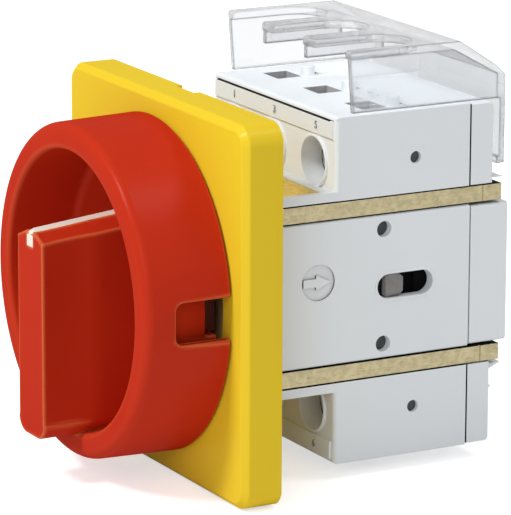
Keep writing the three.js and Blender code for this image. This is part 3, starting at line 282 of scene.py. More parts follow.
def turnedOver(piece, name):
    # the lower pieces are the upper ones turned half round the shaft's axis
    other = newPiece(name, piece.data)
    bpy.ops.transform.rotate(value=math.pi, orient_axis='Y', center_override=(0, 0, 0))
    return smoothFlats(other)


def paint(piece, material, test):
    # faces are chosen by their middle in millimetres and their direction
    if material.name not in piece.data.materials:
        piece.data.materials.append(material)
    index = piece.data.materials.find(material.name)
    for face in piece.data.polygons:
        if test(face.center / mm, face.normal):
            face.material_index = index


def dress(piece, body, slot, *nodes):
    piece.data.materials.clear()
    piece.data.materials.append(finishOf[slot])
    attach(piece, body)
    if nodes:
        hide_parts(*nodes)
    return piece


# Tools for finishes and light

def addNode(tree, kind, *sources, **values):
    # a value is for the input of that name, or for the node's own setting if it begins small;
    # a source names an input and what is linked or given to it
    node = tree.nodes.new("ShaderNode" + kind)
    for label, value in values.items():
        if label[0].isupper():
            node.inputs[label.replace("_", " ")].default_value = value
        else:
            setattr(node, label, value)
    for label, source in sources:
        if isinstance(source, bpy.types.NodeSocket):
            tree.links.new(source, node.inputs[label])
        else:
            node.inputs[label].default_value = source
    return node


def noise(tree, place, *sources, **values):
    return addNode(tree, "TexNoise", ("Vector", place), *sources, **values).outputs["Fac"]


def stretched(tree, source, **limits):
    return addNode(tree, "MapRange", ("Value", source), **limits).outputs[0]


def sums(tree, operation, *terms):
    return addNode(tree, "Math", *enumerate(terms), operation=operation).outputs[0]


def mixed(tree, amount, first, second):
    return addNode(tree, "MixRGB", ("Fac", amount), ("Color1", first), ("Color2", second)).outputs[0]


def linkAll(tree, inputs, **sources):
    for label, source in sources.items():
        tree.links.new(source, inputs[label.replace("_", " ")])


# Camera, fitted to the photograph

view = {
    "place": (0.8195, -0.4266, 0.2338), "azimuth": 61.56, "elevation": 13.94, "roll": 0.22, "lens": 282.35,
    "sensor": 36, "farthest": 10,
}


def addCamera():
    data = bpy.data.cameras.new("camera")
    data.lens = view["lens"]
    data.sensor_width = view["sensor"]
    data.clip_end = view["farthest"]
    camera = bpy.data.objects.new("camera", data)
    bpy.context.collection.objects.link(camera)
    camera.location = view["place"]
    around, up = math.radians(view["azimuth"]), math.radians(view["elevation"])
    look = Vector((-math.sin(around) * math.cos(up), math.cos(around) * math.cos(up), -math.sin(up)))
    turn = look.to_track_quat('-Z', 'Y').to_euler()
    turn.rotate_axis('Z', math.radians(view["roll"]))
    camera.rotation_euler = turn
    bpy.context.scene.camera = camera


# Light: a bright lamp above and in front, weaker ones on the right and above, a white surrounding

lighting = {
    "world": 0.39, "target": (0, 0.015, 0),
    "lamps": [
        {"name": "keyLamp", "place": (0.02, -0.75, 0.82), "power": 7.1, "size": 0.22},
        {"name": "sideLamp", "place": (0.68, -0.62, 0.46), "power": 1.6, "size": 0.4},
        {"name": "topLamp", "place": (0.3, 0.42, 0.85), "power": 1.5, "size": 0.3},
    ],
}
floorLook = {"level": -45.4, "half": 3000, "color": (0.86, 0.86, 0.86, 1), "glow": 0.6}


def cameraWhite(tree, plainShader, whiteShader):
    # what the lens, a gloss or a clear wall sees is plain white
    path = addNode(tree, "LightPath").outputs
    seen = sums(tree, 'MAXIMUM', path["Is Camera Ray"], path["Is Glossy Ray"])
    seen = sums(tree, 'MAXIMUM', seen, path["Is Transmission Ray"])
    return addNode(tree, "MixShader", (0, seen), (1, plainShader), (2, whiteShader)).outputs[0]


def addLight():
    world = bpy.data.worlds.new("studio")
    bpy.context.scene.world = world
    world.use_nodes = True
    tree = world.node_tree
    tree.nodes.clear()
    plain = addNode(tree, "Background", Color=(1, 1, 1, 1), Strength=lighting["world"])
    white = addNode(tree, "Background", Color=(1, 1, 1, 1), Strength=1)
    addNode(tree, "OutputWorld", ("Surface", cameraWhite(tree, plain.outputs[0], white.outputs[0])))
    for lamp in lighting["lamps"]:
        data = bpy.data.lights.new(lamp["name"], 'AREA')
        data.energy = lamp["power"]
        data.size = lamp["size"]
        thing = bpy.data.objects.new(lamp["name"], data)
        bpy.context.collection.objects.link(thing)
        thing.location = lamp["place"]
        look = Vector(lighting["target"]) - Vector(lamp["place"])
        thing.rotation_euler = look.to_track_quat('-Z', 'Y').to_euler()


def addFloor():
    clearSelection()
    bpy.ops.mesh.primitive_plane_add(size=2 * floorLook["half"] * mm, location=(0, 0, floorLook["level"] * mm))
    floor = bpy.context.object
    floor.name = "floor"
    material = bpy.data.materials.new("floorWhite")
    material.use_nodes = True
    tree = material.node_tree
    tree.nodes.clear()
    matt = addNode(tree, "BsdfDiffuse", Color=floorLook["color"])
    glow = addNode(tree, "Emission", Strength=floorLook["glow"])
    both = addNode(tree, "AddShader", (0, matt.outputs[0]), (1, glow.outputs[0]))
    addNode(tree, "OutputMaterial", ("Surface", cameraWhite(tree, matt.outputs[0], both.outputs[0])))
    floor.data.materials.append(material)


addCamera()
addLight()
addFloor()
print("camera, light and floor placed")


# Effects that several finishes share

surfaceOutputs = {"Color": 'Color', "Roughness": 'Float', "Normal": 'Vector'}
unset = (0.5, 0.5, 0.5, 1)   # a colour that each finish sets


def newGroup(name, inputs, outputs):
    # an input's kind follows from its value: a number, three for a vector, four for a colour
    group = bpy.data.node_groups.new(name, 'ShaderNodeTree')
    for label, value in inputs.items():
        kind = 'Float' if isinstance(value, float) else {3: 'Vector', 4: 'Color'}[len(value)]
        socket = group.interface.new_socket(name=label, in_out='INPUT', socket_type='NodeSocket' + kind)
        socket.default_value = value
    for label, kind in outputs.items():
        group.interface.new_socket(name=label, in_out='OUTPUT', socket_type='NodeSocket' + kind)
    return group, group.nodes.new("NodeGroupInput").outputs, group.nodes.new("NodeGroupOutput").inputs


def edgeGroup():
    # a mask of the edges: where the rounded normal leaves the flat one
    group, given, out = newGroup("edgeMask", {"Radius": 0.0005}, {"Mask": 'Float'})
    rounded = addNode(group, "Bevel", ("Radius", given["Radius"]), samples=4).outputs["Normal"]
    flat = addNode(group, "NewGeometry").outputs["Normal"]
    turn = addNode(group, "VectorMath", (0, rounded), (1, flat), operation='DOT_PRODUCT').outputs["Value"]
    linkAll(group, out, Mask=stretched(group, turn, From_Min=0.995, From_Max=0.86))
    return group


def endSurface(group, given, out, color, cloud, spread, relief, strength):
    # the colour, a roughness that a cloud spreads a little, and a fine relief
    rough = stretched(group, cloud, To_Min=1 - spread, To_Max=1 + spread)
    rough = sums(group, 'MULTIPLY', rough, given["Roughness"])
    bump = addNode(group, "Bump", ("Height", relief), ("Strength", strength), Distance=0.0001)
    linkAll(group, out, Color=color, Roughness=rough, Normal=bump.outputs["Normal"])
    return group


def mouldedGroup():
    # fine grain, a faint cloud in the colour and brighter edges, as on moulded plastic; the brighter edges are partly
    # wear and partly painted highlight
    group, given, out = newGroup("mouldedSurface", {
        "Color": unset, "Cloud Color": unset, "Edge Color": unset,
        "Cloud Scale": 60.0, "Cloud": 0.2, "Edge": 0.3, "Edge Mask": 0.0, "Roughness": 0.4,
        "Grain Scale": 2600.0, "Grain": 0.15,
    }, surfaceOutputs)
    place = addNode(group, "TexCoord").outputs["Object"]
    cloud = noise(group, place, ("Scale", given["Cloud Scale"]), Detail=4.0, Roughness=0.6)
    tint = mixed(group, sums(group, 'MULTIPLY', cloud, given["Cloud"]), given["Color"], given["Cloud Color"])
    # edges turn towards the edge colour: partly wear, partly painted highlight
    wearAndHighlight = sums(group, 'MULTIPLY', given["Edge Mask"], given["Edge"])
    color = mixed(group, wearAndHighlight, tint, given["Edge Color"])
    patch = noise(group, place, Scale=240.0, Detail=3.0)
    grain = noise(group, place, ("Scale", given["Grain Scale"]), Detail=2.0)
    return endSurface(group, given, out, color, patch, 0.15, grain, given["Grain"])


def platedGroup():
    # mottled plating with fine lines along one direction
    group, given, out = newGroup("platedSurface", {
        "Color": unset, "Patch Color": unset, "Dark Color": unset,
        "Patch Scale": 300.0, "Stretch": (1.0, 1.0, 1.0), "Speckle": 0.4, "Roughness": 0.4, "Relief": 0.2,
    }, surfaceOutputs)
    place = addNode(group, "TexCoord").outputs["Object"]
    patch = noise(group, place, ("Scale", given["Patch Scale"]), Detail=5.0, Roughness=0.62, Distortion=0.4)
    patch = stretched(group, patch, From_Min=0.4, From_Max=0.62)
    tint = mixed(group, patch, given["Color"], given["Patch Color"])
    pull = addNode(group, "VectorMath", (0, place), (1, given["Stretch"]), operation='MULTIPLY').outputs[0]
    streak = noise(group, pull, Scale=1400.0, Detail=3.0, Roughness=0.7)
    dots = stretched(group, streak, From_Min=0.55, From_Max=0.75)
    color = mixed(group, sums(group, 'MULTIPLY', dots, given["Speckle"]), tint, given["Dark Color"])
    return endSurface(group, given, out, color, streak, 0.25, streak, given["Relief"])


edges = edgeGroup()
moulded = mouldedGroup()
plated = platedGroup()


def newMaterial(name):
    material = bpy.data.materials.new(name)
    material.use_nodes = True
    tree = material.node_tree
    return material, tree, tree.nodes["Principled BSDF"].inputs


def makeFinish(name, group, values, **sockets):
    material, tree, shader = newMaterial(name)
    made = addNode(tree, "Group", *values.items(), node_tree=group).outputs
    linkAll(tree, shader, Base_Color=made["Color"], Roughness=made["Roughness"], Normal=made["Normal"])
    for label, value in sockets.items():
        shader[label.replace("_", " ")].default_value = value
    return material


def edgeMask(tree, radius):
    return addNode(tree, "Group", node_tree=edges, Radius=radius).outputs["Mask"]


# the edge colour and its amount give the edges wear and painted highlight together
def plastic(name, color, cloud, edge, roughness=0.42, grain=0.15, grainScale=2600.0, cloudScale=55.0,
            edgeWearAndHighlight=0.35, edgeWearAndHighlightRadius=0.0005, **sockets):
    material = makeFinish(name, moulded, {
        "Color": (*color, 1), "Cloud Color": (*cloud, 1), "Edge Color": (*edge, 1), "Cloud": 0.6, "Edge": edgeWearAndHighlight,
        "Roughness": roughness, "Grain": grain, "Grain Scale": grainScale, "Cloud Scale": cloudScale,
    }, **sockets)
    tree = material.node_tree
    linkAll(tree, tree.nodes["Group"].inputs, Edge_Mask=edgeMask(tree, edgeWearAndHighlightRadius))
    return material


def metal(name, color, patch, dark, roughness=0.35, speckle=0.3, scale=300.0, stretch=(1, 1, 1)):
    return makeFinish(name, plated, {
        "Color": (*color, 1), "Patch Color": (*patch, 1), "Dark Color": (*dark, 1), "Patch Scale": scale,
        "Stretch": stretch, "Speckle": speckle, "Roughness": roughness, "Relief": 0.2,
    }, Metallic=1.0)


# the red's strong, bright edge colour is mostly painted highlight along its fillets, bowl lip and window rim
red = plastic("redPlastic", (0.53, 0.032, 0.008), (0.47, 0.019, 0.009), (0.80, 0.26, 0.09), roughness=0.4,
              edgeWearAndHighlight=0.8, edgeWearAndHighlightRadius=0.0013, Specular_IOR_Level=0.0, Coat_Weight=0.045, Coat_IOR=2.0,
              Coat_Roughness=0.3)
yellow = plastic("yellowPlastic", (0.83, 0.59, 0.028), (0.78, 0.555, 0.026), (0.9, 0.7, 0.12), roughness=0.4,
                 Specular_IOR_Level=0.0, Coat_Weight=0.05, Coat_IOR=2.0, Coat_Roughness=0.2)
white = plastic("whitePlastic", (0.82, 0.76, 0.66), (0.78, 0.72, 0.62), (0.86, 0.8, 0.7), roughness=0.45)
grey = plastic("greyPlastic", (0.85, 0.89, 0.925), (0.82, 0.86, 0.89), (0.92, 0.935, 0.95), roughness=0.45,
               Specular_IOR_Level=0.2)
black = plastic("blackPlastic", (0.016, 0.016, 0.018), (0.024, 0.024, 0.025), (0.05, 0.05, 0.05), roughness=0.45)
slideBrown = plastic("slidePlastic", (0.12, 0.026, 0.022), (0.09, 0.022, 0.02), (0.3, 0.15, 0.08), roughness=0.5,
                     Specular_IOR_Level=0.2)
ringBrown = plastic("ringPlastic", (0.72, 0.48, 0.2), (0.62, 0.4, 0.16), (0.8, 0.6, 0.3), roughness=0.5,
                    Specular_IOR_Level=0.2)
carrierGrey = plastic("carrierPlastic", (0.27, 0.26, 0.25), (0.14, 0.14, 0.13), (0.4, 0.39, 0.37), roughness=0.6,
                      grain=0.9, grainScale=1500.0, cloudScale=900.0)
rubber = plastic("sealRubber", (0.02, 0.02, 0.021), (0.035, 0.035, 0.035), (0.05, 0.05, 0.05), roughness=0.8,
                 grain=0.4)
steel = metal("zincSteel", (0.62, 0.63, 0.65), (0.52, 0.53, 0.55), (0.3, 0.3, 0.31))
copper = metal("brightCopper", (0.66, 0.32, 0.17), (0.58, 0.26, 0.13), (0.3, 0.12, 0.06))
chromate = metal("chromatedSteel", (0.47, 0.41, 0.25), (0.38, 0.33, 0.2), (0.22, 0.18, 0.09), roughness=0.5,
                 speckle=0.8, scale=520.0, stretch=(1, 0.3, 1.6))
golden = metal("goldenChromate", (0.92, 0.70, 0.16), (0.84, 0.56, 0.08), (0.32, 0.18, 0.03), roughness=0.45,
               speckle=0.5, scale=500.0)

# the aslant and rim colours are painted shade
clearLook = {
    "tints": ((0.70, 0.72, 0.74, 1), (0.80, 0.81, 0.83, 1)), "hazeScale": 90.0, "ior": 1.45,
    "aslantShade": (0.07, 0.075, 0.08, 1), "aslantPower": 1.8, "rim": (0.015, 0.015, 0.017, 1), "rimShadeRadius": 0.0008,
    "gloss": (0.02, 0.09), "cover": (0.66, 0.76), "lampShare": 0.65,
    "waveScale": 140.0, "waveStrength": 0.12, "waveDepth": 0.0004,
}


def clearFinish():
    # clear moulded plastic, a little cloudier in places; its edges and the walls seen at a slant are painted darker,
    # as painted shade
    k = clearLook
    material, tree, shader = newMaterial("clearPlastic")
    shader["IOR"].default_value = k["ior"]
    shader["Transmission Weight"].default_value = 1.0
    place = addNode(tree, "TexCoord").outputs["Object"]
    haze = noise(tree, place, Scale=k["hazeScale"], Detail=3.0)
    # painted shade where a wall is seen at a slant, and along the edges
    aslantShade = sums(tree, 'POWER', addNode(tree, "LayerWeight").outputs["Facing"], k["aslantPower"])
    mask = edgeMask(tree, k["rimShadeRadius"])
    color = mixed(tree, aslantShade, mixed(tree, haze, *k["tints"]), k["aslantShade"])
    rough = stretched(tree, haze, To_Min=k["gloss"][0], To_Max=k["gloss"][1])
    cover = stretched(tree, haze, To_Min=k["cover"][0], To_Max=k["cover"][1])
    # lamps shine through it
    shadow = addNode(tree, "LightPath").outputs["Is Shadow Ray"]
    lit = sums(tree, 'MULTIPLY_ADD', shadow, -k["lampShare"], 1.0)
    wave = noise(tree, place, Scale=k["waveScale"])
    bump = addNode(tree, "Bump", ("Height", wave), Strength=k["waveStrength"], Distance=k["waveDepth"])
    linkAll(tree, shader, Base_Color=mixed(tree, mask, color, k["rim"]), Roughness=rough,
            Alpha=sums(tree, 'MULTIPLY', sums(tree, 'MAXIMUM', cover, mask), lit), Normal=bump.outputs["Normal"])
    return material


clear = clearFinish()
seamShade = plastic("seamShade", (0.012, 0.012, 0.013), (0.02, 0.02, 0.02), (0.02, 0.02, 0.02), roughness=0.9,
                    Specular_IOR_Level=0.1)
numberShade = plastic("numberShade", (0.36, 0.36, 0.37), (0.42, 0.42, 0.43), (0.4, 0.4, 0.41), roughness=0.7,
                      Specular_IOR_Level=0.1)
reliefShade = plastic("reliefShade", (0.2, 0.21, 0.22), (0.3, 0.31, 0.32), (0.3, 0.3, 0.3), roughness=0.7,
                      Specular_IOR_Level=0.1)
holeShade = plastic("holeShade", (0.05, 0.05, 0.055), (0.09, 0.09, 0.095), (0.1, 0.1, 0.1), roughness=0.6,
                    cloudScale=700.0)
clampShade = plastic("clampShade", (0.60, 0.60, 0.61), (0.06, 0.06, 0.065), (0.4, 0.4, 0.41), roughness=0.6,
                     cloudScale=1300.0)

finishOf = {
    "red_plastic": red, "yellow_plastic": yellow, "white_plastic": white, "grey_plastic": grey,
    "clear_plastic": clear, "black_plastic": black, "carrier_plastic": carrierGrey, "rubber": rubber,
    "chromated_steel": chromate, "steel": steel, "copper": copper,
}
ownFinish = {"padlock_slide": slideBrown, "lock_ring": ringBrown}
for part in frame["record"]["subparts"]:
    node = frame["nodes"][part["node"]]
    node.data.materials.clear()
    node.data.materials.append(ownFinish.get(part["node"], finishOf[part["material_slot"]]))
print("finishes made")


# Handle: drum with bowl, waisted grip, padlock window

knob = {
    "radius": 40, "frontRadius": 39.5, "rear": -10.3, "front": -32.1, "fillet": 2.45,
    "lip": 33.3, "lipFillet": 1.2, "foot": 32.3, "floor": -14.8, "floorFillet": 2, "floorBack": -11.4,
    "wall": 2.3, "hollowTop": -27.6, "shellInner": 37.4, "draft": 0.3, "hub": 9, "hubBack": -9.6, "steps": 160,
    "gapDepth": 0.8, "gapWidth": 0.35, "pointerScale": 0.78, "grooveOut": 0.35, "sink": 0.4, "flare": 2,
    "windowFront": -24.2, "windowPast": 6, "windowHalf": 5, "windowCorner": 2, "socketHalf": 5.1,
    "socketFront": -24.9, "springHalf": 1.75, "springLong": 3,
    "pocketStart": 17.9, "pocketHalf": 4.9, "pocketFront": -13.8, "mouthFront": -14.6,
}
grip = {
    "half": 7, "front": -41.9, "foot": -33.5, "footRadius": 4, "ridge": 16.2, "shoulder": 13.6, "rise": 2.7,
    "waist": 0.9, "waistRadius": 34, "waistShift": 1.1, "edge": 1.1, "cuts": 14,
}


def waistDepth(y):
    middle = (grip["front"] + knob["front"]) / 2 + grip["waistShift"]
    reach = grip["waistRadius"] ** 2 - (y - middle) ** 2
    return grip["waist"] - (grip["waistRadius"] - math.sqrt(max(reach, 0)))


def buildGrip():
    g = grip
    half, front, back = g["half"], g["front"], knob["floor"] + knob["sink"]
    piece = barAt("gripTool", 0, half, front, back, g["foot"], g["shoulder"])
    bevelEdges(piece, lambda m, d: abs(d.y) > straight and m.z < 0, g["footRadius"], 10)
    sliceAt(piece, [(0, 0, 0)], (1, 0, 0))
    step = (back - front) / g["cuts"]
    sliceAt(piece, [(0, front + step * i, 0) for i in range(1, g["cuts"])], (0, 1, 0))

    def shape(v):
        x, y, z = v
        if z > g["shoulder"] - close:
            depth = max(0, (y - front - g["edge"]) / (back - front - g["edge"]))
            z = z + g["rise"] * depth + (g["ridge"] - g["shoulder"] if abs(x) < close else 0)
        if abs(x) > half - close:
            x = math.copysign(half - max(waistDepth(y), 0), x)
        return x, y, z
    return moveVertices(piece, shape)


def pointerShape(name, wide):
    piece = copyOf("knob_pointer", name)
    piece.scale = (wide, 1, 1)
    return settle(piece)


def drumProfile():
    k = knob
    gap, gapFront = k["radius"] - k["gapDepth"], k["rear"] - k["gapWidth"]
    spots = [(0, k["floorBack"]), (k["foot"] + k["wall"], k["floorBack"]), (k["lip"] + k["wall"], k["hollowTop"]),
             (k["shellInner"] - k["draft"], k["hollowTop"]), (k["shellInner"], k["rear"]),
             (gap, k["rear"]), (gap, gapFront), (k["radius"], gapFront)]
    spots += arc(k["frontRadius"] - k["fillet"], k["front"] + k["fillet"], k["fillet"], 0, -90, 8)
    spots += arc(k["lip"] + k["lipFillet"], k["front"] + k["lipFillet"], k["lipFillet"], -90, -180, 6)
    spots += arc(k["foot"] - k["floorFillet"], k["floor"] - k["floorFillet"], k["floorFillet"], 0, 90, 8)
    return spots + [(0, k["floor"])]


def buildKnob():
    k = knob
    piece = turned("rotaryHandle", drumProfile(), k["steps"])
    addOn(piece, soften(buildGrip(), grip["edge"], 4, 28))
    addOn(piece, rod("hubTool", 'Y', k["hub"], k["floorBack"] - k["sink"], k["hubBack"], 0, 0, 64))
    # the padlock opening, wider at its rim
    radius, half, top = k["radius"], k["pocketHalf"], k["lip"] + k["wall"]
    windowBack = k["rear"] + k["windowPast"]
    outline = roundedOutline(k["windowFront"], windowBack, -k["windowHalf"], k["windowHalf"], k["windowCorner"], 8)
    middle, reach = (k["windowFront"] + windowBack) / 2, (windowBack - k["windowFront"]) / 2
    widerY, widerZ = 1 + k["flare"] / reach, 1 + k["flare"] / k["windowHalf"]
    flare = prism("flareTool", 'X', outline, radius - over, radius + over)
    moveVertices(flare, lambda v: (v.x, middle + (v.y - middle) * widerY, v.z * widerZ) if v.x > radius else v)
    # the groove again a little further out, so that no film of red stays
    groove = pointerShape("openTool", k["pointerScale"] * 1.01)
    groove.location = (0, -k["grooveOut"] * mm, k["grooveOut"] * mm)
    for tool in (
        flare,
        prism("windowTool", 'X', outline, top + bite, radius + 2 * over),
        block("pocketTool", k["pocketStart"], top, k["pocketFront"], k["floorBack"] + over, -half, half),
        block("mouthTool", k["foot"] + bite, top, k["mouthFront"], k["pocketFront"] + bite, -half, half),
        block("springTool", k["pocketStart"] - k["springLong"], k["pocketStart"] + bite, k["pocketFront"],
              k["floorBack"] + over, -k["springHalf"], k["springHalf"]),
        barAt("socketTool", 0, k["socketHalf"], k["socketFront"], k["hubBack"] + over,
              -k["socketHalf"], k["socketHalf"]),
        pointerShape("grooveTool", k["pointerScale"]),
        settle(groove),
    ):
        cutAway(piece, tool)
    smoothFlats(piece, 32)
    return dress(piece, "handle", "red_plastic", "knob")


buildKnob()

pointerPiece = pointerShape("pointerStrip", knob["pointerScale"])
soften(pointerPiece, 0.1, 2)
dress(pointerPiece, "handle", "white_plastic", "knob_pointer")
print("handle built")


# Yellow plate

plate = {
    "half": 45, "front": -10, "corner": 5, "bevel": 1.5, "edge": 0.3, "recess": 34.5, "recessFloor": -5.4,
    "recessEdge": 0.5, "backEdge": 0.25, "throat": 7.6, "pocketHalf": 39, "pocketCorner": 2.5, "pocketFront": -7.4,
    "land": 39.7, "notchHalf": 4.5, "notchFront": -1.6, "notchDepth": 1, "grooveOuter": 43.3, "outerCorner": 3.3,
    "grooveInner": 41.1, "innerCorner": 1.2, "grooveFront": -1.8, "bore": 9.5, "boreFront": -3.2,
    "holeX": 22, "holeZ": 20.65, "hole": 2.3,
}


def squarePrism(name, half, corner, start, end):
    return prism(name, 'Y', roundedOutline(-half, half, -half, half, corner), start, end)


def buildPlate():
    p = plate
    half, front, behind = p["half"], p["front"], 2 * over
    piece = barAt("frontPlate", 0, half, front, 0, -half, half)
    bevelEdges(piece, lambda m, d: abs(d.y) > straight, p["corner"], 12)
    bevelEdges(piece, lambda m, d: abs(m.y - front) < close, p["bevel"], 1)
    bevelEdges(piece, lambda m, d: m.y < front + p["bevel"] + 0.1, p["edge"], 3, 30)
    pocket = squarePrism("pocketTool", p["pocketHalf"], p["pocketCorner"], p["pocketFront"], behind)
    cutAway(pocket, rod("landTool", 'Y', p["land"], 2 * front, 2 * behind, 0, 0, 96))
    groove = squarePrism("grooveTool", p["grooveOuter"], p["outerCorner"], p["grooveFront"], behind)
    cutAway(groove, squarePrism("grooveCore", p["grooveInner"], p["innerCorner"], front + 2 * behind, 2 * behind))
    for tool in (
        pocket, groove,
        rod("recessTool", 'Y', p["recess"], front - behind, p["recessFloor"], 0, 0, 128),
        rod("throatTool", 'Y', p["throat"], front, behind, 0, 0, 64),
        rod("boreTool", 'Y', p["bore"], p["boreFront"], behind, 0, 0, 64),
        barAt("notchTool", 0, p["notchHalf"], p["notchFront"], behind, half - p["notchDepth"], half + behind),
        *[rod("holeTool", 'Y', p["hole"], front, behind, sx * p["holeX"], sz * p["holeZ"], 32) for sx, sz in corners],
    ):
        cutAway(piece, tool)
    roundRims(piece, lambda m, d: math.hypot(m.x, m.z) < p["recess"] + 0.1 and m.y < front + 0.1,
              p["recessEdge"], 4)
    roundRims(piece, lambda m, d: m.y > -0.1 and max(abs(m.x), abs(m.z)) > half - 0.1 and m.z < half - 0.5,
              p["backEdge"])
    smoothFlats(piece)
    return dress(piece, "base", "yellow_plastic", "front_plate")


buildPlate()
print("plate built")


# Grey housings with their columns, partitions, slots, holes and marks

body = {
    "half": 30, "high": 17.3, "edge": 0.8, "front": 5, "seam": 58.4,
    "rearStart": 58.7, "rearHigh": 16.9, "end": 68.8,
    "innerHalf": 27.5, "innerHigh": 14.8, "cavityFront": 8.5, "cavityEnd": 66.3,
    "columnInner": 24.3, "columnLow": 9.8, "columnStart": 38, "walls": (-10, 10), "wallHalf": 0.6,
    "poles": (-20, 0, 20), "leadHalf": 4.3, "leadFront": 43.3, "leadBack": 45.9,
    "screwX": 26.6, "screwZ": 12.2, "screwHole": 1.5, "screwStart": 43, "headHole": 2.6, "headStart": 65.9,
    "bore": 9.1, "post": 1.5, "postX": -22, "postEnd": 13.7,
    "slotStart": 33.3, "slotEnd": 48.3, "slotHalf": 2.95, "rim": 0.5, "rimHeight": 0.3, "rimRoot": 0.4,
    "dimpleY": 35.1, "dimpleZ": 13.8, "dimple": 1.92, "dimpleDepth": 2.1,
    "markY": 17.6, "markZ": 2.95, "mark": 4.35, "markDepth": 0.6,
}


def stadium(y0, y1, half):
    return arc(y1 - half, 0, half, -90, 90, 24) + arc(y0 + half, 0, half, 90, 270, 24)


def arrowOutline(y, z):
    tail, neck, tip, shaft, barb = y - 3.95, y - 0.6, y + 3.3, 1, 1.8
    return [(tail, z + shaft), (neck, z + shaft), (neck, z + barb), (tip, z), (neck, z - barb),
            (neck, z - shaft), (tail, z - shaft)]


def around(m, y, z, r):
    return math.hypot(m.y - y, m.z - z) < r


def housingShell(name, high, y0, y1):
    b = body
    piece = prism(name, 'Y', roundedOutline(-b["half"], b["half"], -high, high, b["edge"], 5), y0, y1)
    return bevelEdges(piece, lambda m, d: abs(d.y) < 0.01, 0.22, 3, 40)


def housingInside(piece, y0, y1):
    # screw columns in the corners and walls between the poles
    b = body
    wide, high = b["innerHalf"] + bite, b["innerHigh"] + bite
    for sx, sz in corners:
        addOn(piece, block("columnTool", sx * b["columnInner"], sx * wide, y0, y1, sz * b["columnLow"], sz * high))
    for x in b["walls"]:
        addOn(piece, barAt("wallTool", x, b["wallHalf"], y0, y1, -high, high))


def screwRods(radius, y0, y1):
    return [rod("screwTool", 'Y', radius, y0, y1, sx * body["screwX"], sz * body["screwZ"], 32) for sx, sz in corners]


def buildFrontHousing():
    b = body
    half, seam, high = b["half"], b["seam"], b["innerHigh"]
    piece = housingShell("frontHousing", b["high"], b["front"], seam)
    rim = stadium(b["slotStart"] - b["rim"], b["slotEnd"] + b["rim"], b["slotHalf"] + b["rim"])
    for side in sides:
        addOn(piece, prism("rimTool", 'X', rim, side * (half - b["rimRoot"]), side * (half + b["rimHeight"])))
    cutAway(piece, barAt("cavityTool", 0, b["innerHalf"], b["cavityFront"], seam + over, -high, high))
    housingInside(piece, b["columnStart"], seam)
    addOn(piece, rod("postTool", 'Y', b["post"], b["cavityFront"] - bite, b["postEnd"], b["postX"], 0, 24))
    cutAway(piece, rod("boreTool", 'Y', b["bore"], b["front"] - over, b["cavityFront"] + over, 0, 0, 64))
    slot = stadium(b["slotStart"], b["slotEnd"], b["slotHalf"])
    for side in sides:
        cutAway(piece, prism("slotTool", 'X', slot, side * (b["innerHalf"] - over), side * (half + over)))
        cutAway(piece, *[rod("dimpleTool", 'X', b["dimple"], side * (half - b["dimpleDepth"]),
                             side * (half + over), b["dimpleY"], up * b["dimpleZ"]) for up in sides])
    # a sunken disc with a raised arrow
    discFloor, middle = half - b["markDepth"], (b["markY"], b["markZ"])
    cutAway(piece, rod("markTool", 'X', b["mark"], discFloor, half + over, *middle, 72))
    addOn(piece, prism("arrowTool", 'X', arrowOutline(*middle), discFloor - bite, half - 0.03))
    for x in b["poles"]:
        cutAway(piece, *[barAt("leadTool", x, b["leadHalf"], b["leadFront"], b["leadBack"], z0, z1)
                         for z0, z1 in ((-b["high"] - over, over - high), (high - over, b["high"] + over))])
    cutAway(piece, *screwRods(b["screwHole"], b["screwStart"], seam + over))
    roundRims(piece, lambda m, d: abs(m.x) > half - close and (
        b["slotStart"] - 1 < m.y < b["slotEnd"] + 1 and abs(m.z) < 4
        or around(m, b["dimpleY"], b["dimpleZ"], 2.2) or around(m, b["dimpleY"], -b["dimpleZ"], 2.2)), 0.15)
    roundRims(piece, lambda m, d: m.x > half - close and around(m, *middle, 4.5), 0.09, 2)
    smoothFlats(piece)
    dress(piece, "base", "grey_plastic", "front_housing")
    # painted shade on the faces under the frames and all through the cavity
    paint(piece, seamShade, lambda c, n: abs(n.z) > straight and abs(c.z) > b["high"] - beside
          and c.y > b["front"] + bite)
    paint(piece, seamShade, lambda c, n: abs(c.x) < b["innerHalf"] + beside and abs(c.z) < high + beside
          and c.y > b["cavityFront"] - beside)
    # painted shade on the walls of the sunken disc and of the raised arrow
    paint(piece, reliefShade, lambda c, n: discFloor < c.x < half and abs(n.x) < 0.3
          and around(c, *middle, b["mark"] + beside))
    # painted shade on the floors of the blind holes
    paint(piece, holeShade, lambda c, n: abs(n.x) > straight and abs(abs(c.x) - half + b["dimpleDepth"]) < beside
          and abs(abs(c.z) - b["dimpleZ"]) < b["dimple"] and abs(c.y - b["dimpleY"]) < b["dimple"])


def buildRearHousing():
    b = body
    front, end, high = b["rearStart"], b["end"], b["innerHigh"]
    piece = housingShell("rearHousing", b["rearHigh"], front, end)
    cutAway(piece, barAt("cavityTool", 0, b["innerHalf"], front - over, b["cavityEnd"], -high, high))
    housingInside(piece, front, end - bite)
    cutAway(piece, *screwRods(b["screwHole"], front - over, end))
    cutAway(piece, *screwRods(b["headHole"], b["headStart"], end + over))
    roundRims(piece, lambda m, d: m.y > end - close and abs(m.x) < b["half"] - 0.5, 0.15)
    smoothFlats(piece)
    dress(piece, "base", "grey_plastic", "rear_housing")


buildFrontHousing()
buildRearHousing()
print("housings built")


# Slide carrier: short lugs in the side slots; inside the housing it is painted dark, a painted shade

lug = {"front": 36, "root": 27.6, "half": 3.2}
carrierPiece = copyOf("contact_carrier", "slideCarrier")
for side in sides:
    cutAway(carrierPiece, block("lugTool", side * lug["root"], side * body["half"], body["slotStart"] - over,
                                lug["front"], -lug["half"], lug["half"]))
smoothFlats(carrierPiece)
dress(carrierPiece, "carrier", "carrier_plastic", "contact_carrier")
# painted shade on all of the carrier inside the housing
paint(carrierPiece, seamShade, lambda c, n: abs(c.x) < lug["root"] + beside)
print("carrier built")


# Terminal blocks: rails, lip, band, collars, screw wells, posts and plain numbers

